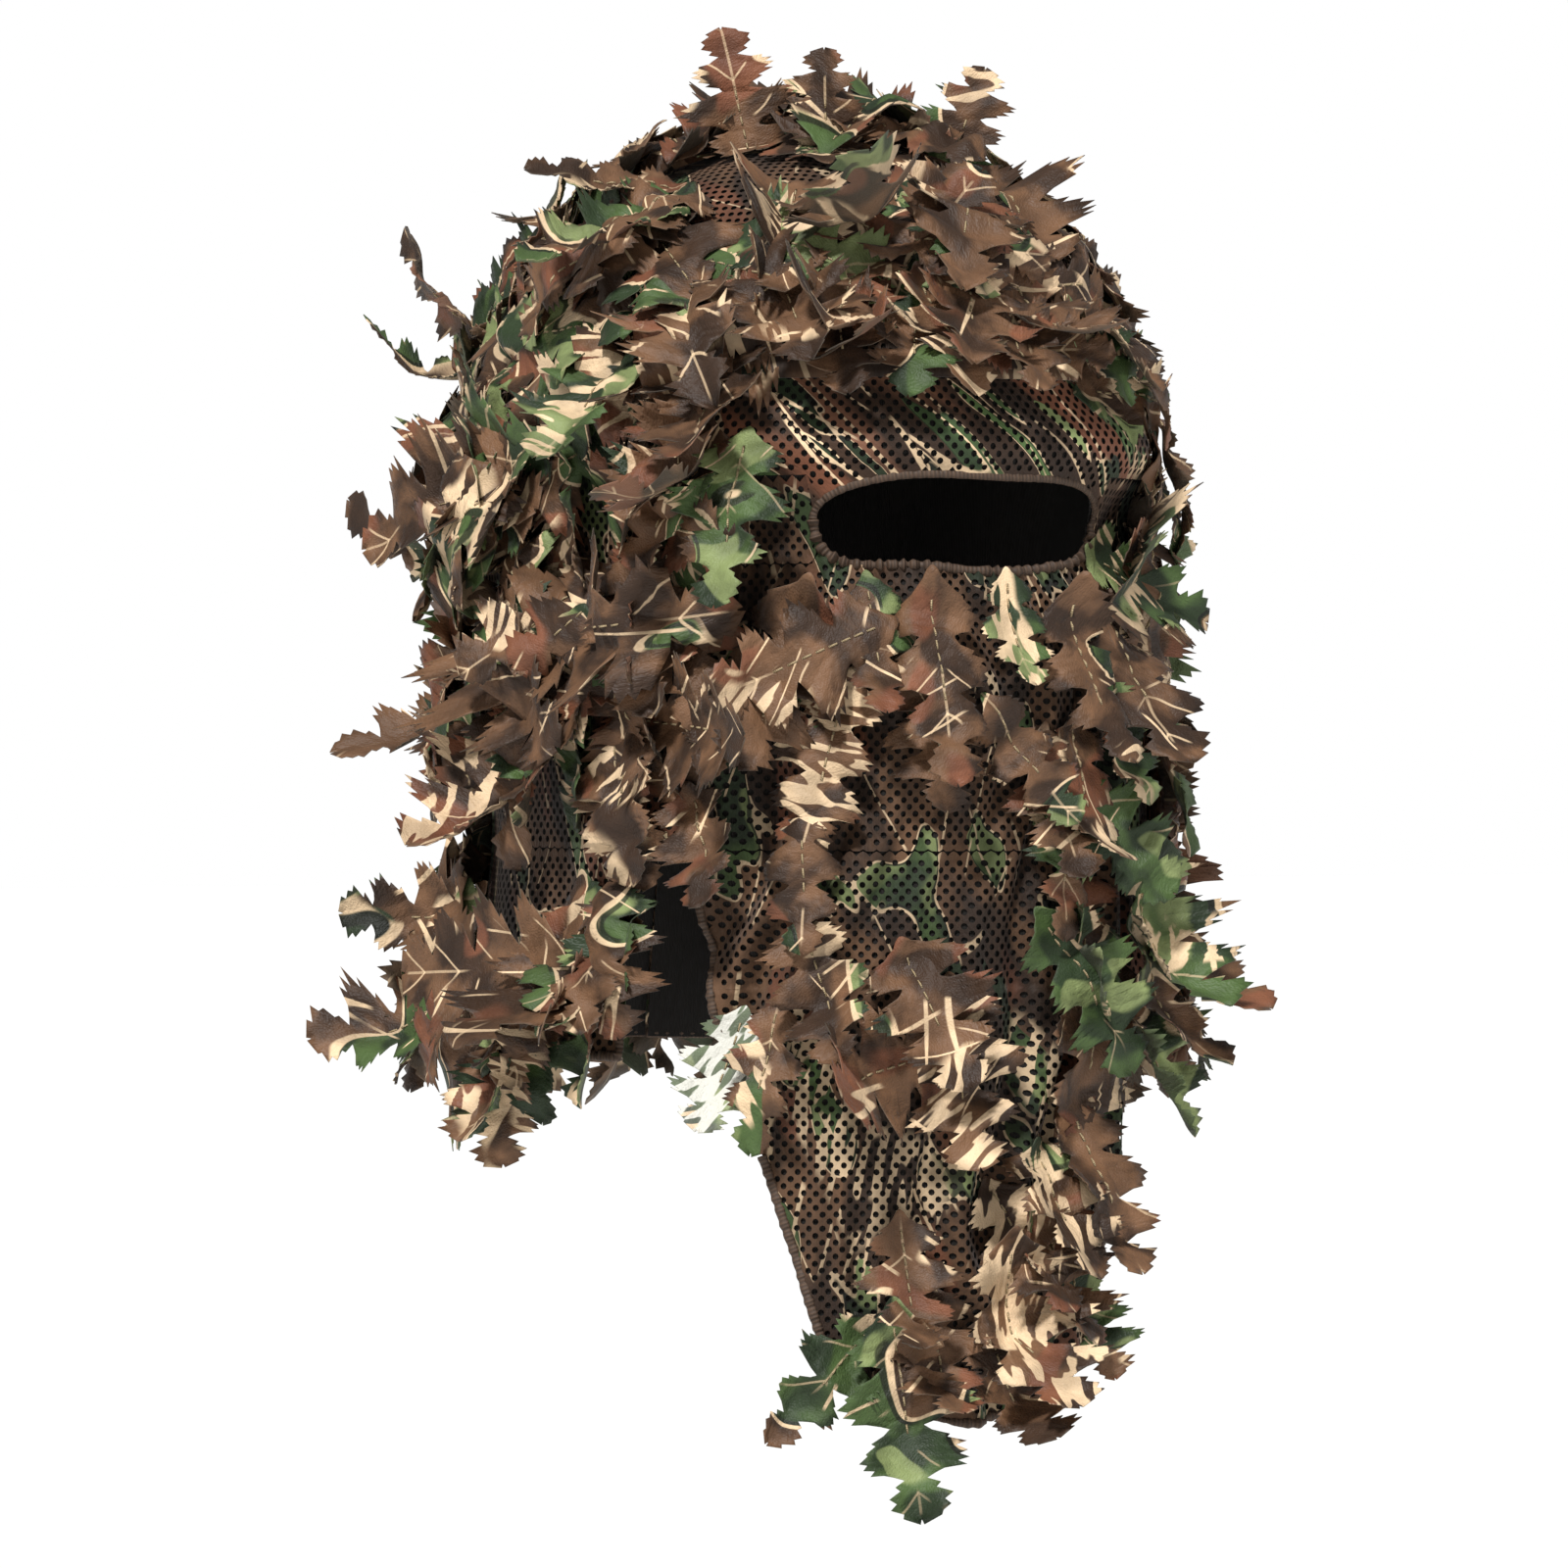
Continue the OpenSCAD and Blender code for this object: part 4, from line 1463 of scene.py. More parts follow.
@dataclass
class Leaves:
    """Every leaf on the mask, zone by zone, and the stitching down each midrib."""

    form: HoodForm
    face: bpy.types.Material
    back: bpy.types.Material
    thread: bpy.types.Material
    cut: LeafCut = LeafCut()
    cloth: float = 0.3 * MM
    room: float = 13 * MM
    tries: int = 40
    eased: float = 0.85
    hug: float = 32.0
    combed: float = 12 * MM
    brow_clear: float = 19 * MM
    view_angle: float = 33.0
    dome_depth: float = 45 * MM
    least_dome: float = 1.035
    cloth_share: float = 0.62
    dashes: dict[str, list[np.ndarray]] = field(default_factory=dict)
    dash_bodies: dict[str, Body] = field(default_factory=dict)

    def build(self, zones: Sequence[Zone]) -> None:
        """Cuts, curls and sews on the leaves of every zone.

        Args:
            zones: The zones, in order.
        """
        reader = SeatReader(self.form)
        for zone in zones:
            rng = random.Random(zone.node)
            shapes = [LeafShape(self.form, pose, Crumple.pick(rng, pose.crumple)) for pose in zone.placed]
            for seat in reader.read(zone.node):
                for layer in range(zone.layers):
                    shape = self._scattered(zone, seat, layer, rng)
                    shapes += [shape] if shape else []
            self._sew(zone, shapes, rng)
        for name, body in self.dash_bodies.items():
            self._stitch(name, body)

    def _scattered(self, zone: Zone, seat: Seat, layer: int, rng: random.Random) -> LeafShape | None:
        """A leaf near one seat that leaves the slot and the brow clear. Each try lies flatter than the last.

        Args:
            zone: The zone that the seat is in.
            seat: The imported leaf's place.
            layer: 0 for the leaf at the seat, more for its neighbours.
            rng: The zone's source of differences.

        Returns:
            The leaf, or nothing where no pose fits.
        """
        most = self._reach(zone, seat)
        for attempt in range(self.tries):
            ease = 1 - self.eased * attempt / self.tries
            pose = self._pose(zone, seat, layer, rng)
            pose = replace(pose, tilt=pose.tilt * ease, bend=pose.bend * ease - self.hug * (1 - ease))
            shape = LeafShape(self.form, pose, Crumple.pick(rng, rng.uniform(0.6, 1.25) * ease))
            stations = np.repeat(np.linspace(0, pose.length, 9), 3)
            points = shape.place(stations, np.tile(np.array([-0.32, 0, 0.32]) * pose.width, 9))
            on_body = not zone.skirt or self._on_corner(pose) == (zone.body is not Body.HOOD)
            if on_body and self._standoff(points) < most and not self._in_view(points):
                return shape
        return None

    def _on_corner(self, pose: Pose) -> bool:
        """Whether a leaf is sewn on the part of the skirt that folds back."""
        form, angle = self.form, abs(pose.angle)
        ends = [form.chin + form.slit_drop, form.skirt_hem]
        level = np.interp(angle, [form.skirt_angle, form.fold_angle], ends)
        return bool(angle < form.fold_angle and pose.depth > level)

    def _reach(self, zone: Zone, seat: Seat) -> float:
        """How far a zone's leaf may stand off: the crown's front on the wearer's left is combed flatter."""
        flat = 12 < seat.angle < 112 and seat.depth < self.form.slot_top
        return min(zone.reach, self.combed) if flat else zone.reach

    def _standoff(self, points: np.ndarray) -> float:
        """About how far the furthest point stands off the hood's surface."""
        return float((self.form.dome_size(points).max() - 1) * self.form.mean_radius)

    def _in_view(self, points: np.ndarray) -> bool:
        """Whether any point stands before the eye slot or the smooth part of the brow."""
        form, depth = self.form, -points[:, 2]
        angle = np.degrees(np.arctan2(points[:, 0] / form.half_width, -points[:, 1] / form.front_depth))
        level = (depth > form.slot_top - self.brow_clear) & (depth < form.slot_bottom - 1 * MM)
        return bool(np.any((np.abs(angle) < self.view_angle) & level))

    def _pose(self, zone: Zone, seat: Seat, layer: int, rng: random.Random) -> Pose:
        """Draws how one leaf lies.

        Args:
            zone: The zone that the seat is in.
            seat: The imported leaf's place.
            layer: 0 for the leaf at the seat, more for its neighbours.
            rng: The zone's source of differences.

        Returns:
            The pose.
        """
        length = seat.length * zone.size * rng.uniform(0.88, 1.12)
        reach = 17 if layer else 3
        raised = rng.random() < zone.raised
        tilt = rng.uniform(36, 72) if raised else rng.uniform(*zone.tilt)
        bend = rng.uniform(-80, -10) if raised else rng.uniform(-48, 16)
        return Pose(
            angle=seat.angle + rng.uniform(-reach, reach),
            depth=max(seat.depth + rng.uniform(-1, 1) * reach * MM, 1 * MM),
            heading=seat.heading + rng.uniform(-1, 1) * zone.spread * (1.5 if layer else 1),
            tilt=tilt,
            length=length,
            width=length * rng.uniform(0.60, 0.72),
            bend=bend,
            curl=rng.uniform(-22, 42),
            crease=rng.uniform(-0.25, 0.6),
            twist=rng.uniform(-70, 70),
            sewn_at=rng.choice((0.04, 0.12, 0.30)),
            lift=rng.uniform(2.2, 8.5) * MM,
            tone=min(max(rng.gauss(zone.tone, 0.28), 0.0), 1.0),
            flipped=rng.random() < 0.04,
            skirt=zone.skirt,
        )

    def _sew(self, zone: Zone, shapes: Sequence[LeafShape], rng: random.Random) -> None:
        """Joins the leaves of a zone in one piece and notes where they are stitched."""
        points, prints, plans, tones, faces = [], [], [], [], []
        cloth_area, start = 0.0, 0
        for shape in shapes:
            pose = shape.pose
            places, cells = self.cut.flat(rng)
            along = places[:, 0] * pose.length
            across = places[:, 1] * pose.width / 2
            points.append(self._kept_near(self._clear_of_net(shape.place(along, across), 0.0)))
            turn = rng.uniform(0, math.tau)
            cosine, sine = math.cos(turn), math.sin(turn)
            spun = np.stack([along * cosine - across * sine, along * sine + across * cosine], axis=-1)
            prints.append(spun + np.array([rng.uniform(-3, 3), rng.uniform(-3, 3)]))
            plans.append(np.stack([along, across], axis=-1))
            tones.append(np.full(len(along), pose.tone))
            cells = [cell[::-1] for cell in cells] if pose.flipped else cells
            faces += [tuple(start + i for i in cell) for cell in cells]
            start += len(along)
            cloth_area += self.cloth_share * pose.length * pose.width
            if zone.stitches:
                self._note_stitches(zone, shape)
        piece = new_object(f"{zone.node}_cloth", np.concatenate(points), faces)
        write_print(piece, np.concatenate(prints))
        write_print(piece, np.concatenate(plans), LEAF_MAP)
        tone = piece.data.attributes.new(TONE, "FLOAT", "POINT")
        tone.data.foreach_set("value", np.concatenate(tones).astype(np.float32))
        solidify(piece, self.cloth, reverse=True)
        settle(piece, zone.body, "leaf_cloth", zone.node, self.face, self.back)
        long = max(shape.pose.length for shape in shapes)
        cloth_area / long

    def _clear_of_net(self, points: np.ndarray, over: float) -> np.ndarray:
        """Pushes out whatever would cut into the net, to a little over it."""
        form = self.form
        angle = np.arctan2(points[:, 0] / form.half_width, -points[:, 1] / form.back_or_front(points))
        depth = np.maximum(-points[:, 2], 0.5 * MM)
        skirt = (depth > form.chin) & (np.abs(angle) > math.radians(form.face_angle + 5))
        cloth = form.place(np.degrees(angle), depth, form.net_lift + 1.0 * MM + over, skirt)
        need, have = np.linalg.norm(cloth[:, :2], axis=1), np.linalg.norm(points[:, :2], axis=1)
        domed = depth < self.dome_depth
        points = points.copy()
        points[:, :2] *= np.where(~domed & (have < need), need / np.maximum(have, 1 * MM), 1.0)[:, None]
        centre = np.array([0, 0, -form.crown_height])
        size = form.dome_size(points)
        least = self.least_dome + over / form.crown_height
        grow = np.where(domed & (size < least), least / np.maximum(size, 0.1), 1.0)
        return centre + (points - centre) * grow[:, None]

    def _kept_near(self, points: np.ndarray) -> np.ndarray:
        """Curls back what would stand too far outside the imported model's box."""
        low, high = (np.array(corner) for corner in CAD_BOX)
        inner_low, inner_high = low - self.room * 0.4, high + self.room * 0.4
        inner_high[2] = high[2] - 8 * MM
        span = self.room * 0.6
        over = np.maximum(points - inner_high, 0)
        under = np.maximum(inner_low - points, 0)
        clipped = np.clip(points, inner_low, inner_high)
        return clipped + span * np.tanh(over / span) - span * np.tanh(under / span)

    def _note_stitches(self, zone: Zone, shape: LeafShape) -> None:
        """Places short dashes of thread down a leaf's midrib."""
        pose = shape.pose
        stitch, gap, width = 2.8 * MM, 1.3 * MM, 0.36 * MM
        start = (pose.sewn_at * 0.5 + 0.05) * pose.length
        dashes = self.dashes.setdefault(zone.stitches, [])
        self.dash_bodies[zone.stitches] = zone.body
        for number in range(int(pose.length * 0.55 / (stitch + gap))):
            near = start + number * (stitch + gap)
            stations = np.array([near, near + stitch * 0.5, near + stitch])
            left = shape.place(stations, np.full(3, -width))
            right = shape.place(stations, np.full(3, width))
            ahead = shape.place(stations + 0.1 * MM, np.zeros(3)) - shape.place(stations, np.zeros(3))
            normal = np.cross(ahead, right - left)
            normal /= np.linalg.norm(normal, axis=1, keepdims=True)
            arch = np.array([0.05, 0.62, 0.05])[:, None] * MM
            crown = (left + right) / 2 + normal * arch
            raised = np.concatenate([left, crown, right]) + np.tile(normal, (3, 1)) * 0.2 * MM
            dashes.append(self._kept_near(self._clear_of_net(raised, 0.4 * MM)))

    def _stitch(self, name: str, body: Body) -> None:
        """Makes the thread of one node from its noted dashes."""
        dashes = self.dashes[name]
        top = [(0, 1, 4, 3), (1, 2, 5, 4), (3, 4, 7, 6), (4, 5, 8, 7)]
        cells = top + [(0, 6, 7, 1), (1, 7, 8, 2), (0, 3, 6), (2, 8, 5)]
        faces = [tuple(number * 9 + i for i in cell) for number in range(len(dashes)) for cell in cells]
        piece = new_object(f"{name}_thread", np.concatenate(dashes), faces)
        face_out(piece)
        places = np.array([(i % 3 * 1.3 * MM, i // 3 * 0.3 * MM) for i in range(9)])
        write_print(piece, np.tile(places, (len(dashes), 1)))
        settle(piece, body, "thread", name, self.thread)


# Tapes, hems and bar tacks


@dataclass
class Trims:
    """Every strip of tape, rolled hem, elastic and bar tack."""

    form: HoodForm
    tape: bpy.types.Material
    hem: bpy.types.Material
    elastic: bpy.types.Material
    thread: bpy.types.Material
    tape_lift: float = 1.5 * MM
    tape_thickness: float = 0.7 * MM
    tape_angle: float = 2.3
    elastic_lift: float = -1.1 * MM
    tack_angle: float = 2.4

    def build(self) -> None:
        """Makes them all."""
        self._seams()
        self._slot()
        self._skirt_hems()
        self._bib_hems()
        self._tacks()

    def _ribbon(
        self,
        name: str,
        runs: Sequence[tuple[np.ndarray, np.ndarray, np.ndarray, np.ndarray]],
        lift: float,
        thickness: float,
        skirt: bool = False,
    ) -> bpy.types.Object:
        """A flat ribbon that follows the cloth.

        Args:
            name: The piece's name.
            runs: For each length of it, the angles and depths of its two edges.
            lift: How far it lies off the cloth's inner face.
            thickness: The ribbon's thickness.
            skirt: Whether it follows the flared skirt.

        Returns:
            The ribbon.
        """
        rows = 5
        points, prints, faces = [], [], []
        for edge_a, level_a, edge_b, level_b in runs:
            start = sum(len(p) for p in points)
            shares = np.linspace(0, 1, rows)[:, None]
            angle = edge_a + (edge_b - edge_a) * shares
            depth = level_a + (level_b - level_a) * shares
            crown = lift + thickness * 0.6 * np.sin(math.pi * shares) * np.ones_like(angle)
            grid = self.form.place(angle, depth, crown, skirt)
            wide = angle.shape[1]
            steps = np.linalg.norm(np.diff(grid[2], axis=0), axis=1)
            along = np.concatenate([[0], np.cumsum(steps)])
            points.append(grid.reshape(-1, 3))
            prints.append(np.stack([np.tile(along, rows), np.repeat(shares[:, 0] * 6 * MM, wide)], axis=-1))
            faces += quads(rows, wide, start)
        piece = new_object(name, np.concatenate(points), faces)
        write_print(piece, np.concatenate(prints))
        solidify(piece, thickness)
        return piece

    def _seams(self) -> None:
        """Tapes over the centre, crown and cheek seams."""
        form = self.form
        share = np.linspace(1, -1, 90) * float(form.swell(np.array(form.crown_seam - 6 * MM)))
        edges = []
        for sign in (1, -1):
            across = np.full_like(share, sign * 5 * MM / form.half_width)
            spread = np.hypot(across, share)
            depth = form.crown_height * (1 - (1 - spread**form.crown_power) ** (1 / form.crown_power))
            edges += [np.degrees(np.unwrap(np.arctan2(across, share))), depth]
        piece = self._ribbon("centre_seam_ribbon", [tuple(edges)], self.tape_lift, self.tape_thickness)
        settle(piece, Body.HOOD, "binding_tape", "centre_seam_tape", self.tape)

        half = 4 * MM
        turns = np.linspace(-180, 180, 200)
        levels = np.full_like(turns, form.crown_seam)
        run = (turns, levels - half, turns, levels + half)
        piece = self._ribbon("crown_seam_ribbon", [run], self.tape_lift, self.tape_thickness)
        settle(piece, Body.HOOD, "binding_tape", "crown_seam_tape", self.tape)

        for side in Side:
            levels = np.linspace(form.crown_seam + 5 * MM, form.chin - 8 * MM, 50)
            angle = np.full_like(levels, side.value * form.face_angle)
            name = f"cheek_seam_{side.word}"
            run = (angle - self.tape_angle, levels, angle + self.tape_angle, levels)
            piece = self._ribbon(f"{name}_ribbon", [run], self.tape_lift, self.tape_thickness)
            settle(piece, Body.HOOD, "binding_tape", name, self.tape)

    def _slot_ring(self, upper: bool, count: int = 90) -> tuple[np.ndarray, np.ndarray]:
        """Angles and depths along the upper or lower half of the slot's edge."""
        form = self.form
        turn = np.linspace(math.pi, 0, count)
        angle = form.slot_angle * np.sign(np.cos(turn)) * np.abs(np.cos(turn)) ** 0.55
        return angle, form.slot_edge(angle, upper)

    def _slot(self) -> None:
        """Rolled hems round the eye slot, the lower one gathered, and the elastic inside them."""
        form = self.form
        for word, upper, radius, gather in (("upper", True, 1.25, 0.2), ("lower", False, 1.6, 0.9)):
            angle, depth = self._slot_ring(upper)
            piece = self._roll(f"slot_{word}_hem", angle, depth, radius * MM, gather * MM)
            settle(piece, Body.HOOD, "binding_tape", f"slot_binding_{word}", self.hem)
        runs = []
        for upper in (True, False):
            angle, depth = self._slot_ring(upper)
            away = np.sign(depth - form.slot_middle) * 5 * MM
            runs.append((angle * 1.02, depth + away * 0.15, angle * 1.16, depth + away))
        piece = self._ribbon("slot_elastic_band", runs, self.elastic_lift, self.tape_thickness)
        settle(piece, Body.HOOD, "elastic", "slot_elastic", self.elastic)

    def _roll(
        self,
        name: str,
        angle: np.ndarray,
        depth: np.ndarray,
        radius: float,
        gather: float,
        skirt: bool = False,
    ) -> bpy.types.Object:
        """A rolled hem: a thin tube that follows an edge, with puckers.

        Args:
            name: The piece's name.
            angle: Angles along the edge.
            depth: Depths along the edge.
            radius: The roll's radius.
            gather: How deep its puckers are.
            skirt: Whether it follows the flared skirt.

        Returns:
            The roll.
        """
        sides = 8
        fine = np.linspace(0, 1, len(angle) * 3)
        coarse = np.linspace(0, 1, len(angle))
        angle, depth = np.interp(fine, coarse, angle), np.interp(fine, coarse, depth)
        middle = self.form.place(angle, depth, self.form.net_lift, skirt)
        along = np.gradient(middle, axis=0)
        length = np.concatenate([[0], np.cumsum(np.linalg.norm(np.diff(middle, axis=0), axis=1))])
        along /= np.linalg.norm(along, axis=1, keepdims=True)
        out = self.form.normal(np.radians(angle), depth, skirt)
        beside = np.cross(along, out)
        pucker = np.sin(length / (4.1 * MM) * math.tau) + 0.5 * np.sin(length / (2.7 * MM) * math.tau + 1)
        middle = middle + out * (pucker * gather)[:, None] * 0.7
        size = radius + pucker * gather * 0.35
        points, prints = [], []
        for number in range(sides):
            turn = math.tau * number / sides
            ring = out * (math.cos(turn) * size * 0.6)[:, None] + beside * (math.sin(turn) * size)[:, None]
            points.append(middle + ring)
            prints.append(np.stack([length, np.full_like(length, number * 0.8 * MM)], axis=-1))
        wide = len(angle)
        ends = range(0, sides * wide, wide)
        faces = quads(sides, wide, closed=True) + [tuple(ends[::-1]), tuple(end + wide - 1 for end in ends)]
        piece = new_object(name, np.concatenate(points), faces)
        write_print(piece, np.concatenate(prints))
        face_out(piece)
        return piece

    def _skirt_hems(self) -> None:
        """Hems along the skirt, and along the corner beside each slit."""
        form = self.form
        for side in Side:
            turns = np.linspace(form.fold_angle + 1, 180, 60) * side.value
            level = np.full_like(turns, form.skirt_hem - 1 * MM)
            piece = self._roll(f"skirt_{side.word}_roll", turns, level, 1.6 * MM, 0.3 * MM, skirt=True)
            settle(piece, Body.HOOD, "binding_tape", f"skirt_hem_{side.word}", self.hem)
            corner = np.linspace(form.fold_angle - 4, form.skirt_angle, 30) * side.value
            up = np.linspace(form.skirt_hem - 1 * MM, form.chin + 12 * MM, 30)
            turns = np.concatenate([corner, np.full(29, form.skirt_angle * side.value)])
            level = np.concatenate([np.full(30, form.skirt_hem - 1 * MM), up[1:]])
            piece = self._roll(f"flap_{side.word}_roll", turns, level, 1.6 * MM, 0.3 * MM, skirt=True)
            body = Body[f"FLAP_{side.name}"]
            settle(piece, body, "binding_tape", f"flap_{side.word}_hem", self.hem)

    def _bib_hems(self) -> None:
        """Rolled edges down both sides of the upper bib and round the lower one."""
        form = self.form
        levels = np.linspace(form.chin + 9 * MM, form.bib_fold - 5 * MM, 50)
        halves = []
        for side in Side:
            angle = form.bib_angle(levels) * side.value
            halves.append(self._roll(f"bib_upper_roll_{side.word}", angle, levels, 1.5 * MM, 0.3 * MM))
        joined = halves[0]
        with bpy.context.temp_override(active_object=joined, selected_editable_objects=halves):
            bpy.ops.object.join()
        joined.name = "bib_upper_roll"
        settle(joined, Body.BIB_TOP, "binding_tape", "bib_upper_binding", self.hem)
        down = np.linspace(form.bib_fold + 6 * MM, form.bib_corner, 30)
        sweep = np.linspace(-1, 1, 50) * form.tip_angle
        angle = np.concatenate([-form.bib_angle(down), sweep[1:-1], form.bib_angle(down)[::-1]])
        level = np.concatenate([down, form.bib_end(sweep[1:-1]), down[::-1]])
        piece = self._roll("bib_lower_roll", angle, level, 1.5 * MM, 0.3 * MM)
        settle(piece, Body.BIB_TIP, "binding_tape", "bib_hem_binding", self.hem)

    def _tacks(self) -> None:
        """Bar tacks: a block of close zigzag stitches."""
        form = self.form
        slit = (form.face_angle + form.skirt_angle) / 2
        places = {
            "nape_tack": (180.0, form.chin - 7 * MM),
            "slit_tack_right": (-slit, form.chin - 4.2 * MM),
            "slit_tack_left": (slit, form.chin - 4.2 * MM),
        }
        for name, (angle, depth) in places.items():
            turns = np.linspace(angle - self.tack_angle, angle + self.tack_angle, 37)
            zigzag = depth + 1.1 * MM * np.sign(np.sin(np.arange(37) * math.pi / 2 + 0.4))
            piece = self._roll(f"{name}_thread", turns, zigzag, 0.35 * MM, 0.0)
            out = Vector(form.normal(np.radians(angle), np.array(depth), False))
            piece.data.transform(Matrix.Translation(out * MM))
            settle(piece, Body.HOOD, "thread", name, self.thread)


# The studio


@dataclass
class Studio:
    """Pale paper, soft lights and the camera."""

    azimuth: float = -25.0
    elevation: float = 0.6
    distance: float = 3.2
    frame_height: float = 0.485
    aim_height: float = -0.196
    aim_side: float = -0.009
    floor_gap: float = 0.07

    def build(self) -> None:
        """Sets up the floor, the lights and the camera."""
        self._floor(CAD_BOX[0][2] - self.floor_gap)
        self._sun("key_sun", Vector((-0.85, -0.9, 1.35)), 3.7, 7.0)
        self._sun("fill_sun", Vector((0.9, -1.2, 0.5)), 0.45, 60.0)
        self._world(0.25)
        self._camera()
        bpy.context.scene.view_settings.view_transform = "Standard"

    def _floor(self, level: float) -> None:
        """A wide sheet of paper below the mask."""
        half = 12.0
        ways = ((-1, -1), (1, -1), (1, 1), (-1, 1))
        corners = np.array([(x * half, y * half, level) for x, y in ways])
        floor = new_object("floor", corners, [(0, 1, 2, 3)], smooth=False)
        floor.data.materials.append(Backdrop().make())

    @staticmethod
    def _sun(name: str, away: Vector, power: float, softness: float) -> None:
        """A soft distant light.

        Args:
            name: Its name.
            away: The direction that it shines from.
            power: Its strength.
            softness: The angle that it fills, in degrees.
        """
        data = bpy.data.lights.new(name, "SUN")
        data.energy = power
        data.angle = math.radians(softness)
        lamp = bpy.data.objects.new(name, data)
        lamp.rotation_euler = away.to_track_quat("Z", "Y").to_euler()
        bpy.context.scene.collection.objects.link(lamp)

    @staticmethod
    def _world(strength: float) -> None:
        """White surroundings that light less than they show."""
        world = bpy.data.worlds.new("studio_air")
        world.use_nodes = True
        tree = world.node_tree
        seen = tree.nodes.new("ShaderNodeLightPath")
        scale = tree.nodes.new("ShaderNodeMapRange")
        scale.inputs["To Min"].default_value = strength
        scale.inputs["To Max"].default_value = 1.0
        tree.links.new(seen.outputs["Is Camera Ray"], scale.inputs["Value"])
        air = tree.nodes["Background"]
        air.inputs["Color"].default_value = (1.0, 1.0, 1.0, 1.0)
        tree.links.new(scale.outputs["Result"], air.inputs["Strength"])
        bpy.context.scene.world = world

    def _camera(self) -> None:
        """The camera, turned round the mask by its azimuth."""
        turn, rise = math.radians(self.azimuth), math.radians(self.elevation)
        away = Vector((math.sin(turn) * math.cos(rise), -math.cos(turn) * math.cos(rise), math.sin(rise)))
        right = Vector((math.cos(turn), math.sin(turn), 0))
        aim = Vector((0, 0, self.aim_height)) + right * self.aim_side
        data = bpy.data.cameras.new("camera")
        data.lens = 36.0 * self.distance / self.frame_height
        camera = bpy.data.objects.new("camera", data)
        camera.location = aim + away * self.distance
        camera.rotation_euler = (-away).to_track_quat("-Z", "Y").to_euler()
        bpy.context.scene.collection.objects.link(camera)
        bpy.context.scene.camera = camera


# Putting it together


def leaf(
    angle: float,
    depth: float,
    heading: float,
    tilt: float,
    length: float,
    width: float,
    tone: float = 0.35,
    **rest: float,
) -> Pose:
    """A leaf placed as given.

    Args:
        angle: Its root's angle round the head.
        depth: Its root's depth, in millimetres.
        heading: The way that it points, from straight down.
        tilt: Its angle off the cloth.
        length: Its length, in millimetres.
        width: Its width, in millimetres.
        tone: The tone of its print.
        rest: Other fields of the pose.

    Returns:
        The pose.
    """
    return Pose(angle, depth * MM, heading, tilt, length * MM, width * MM, tone=tone, **rest)


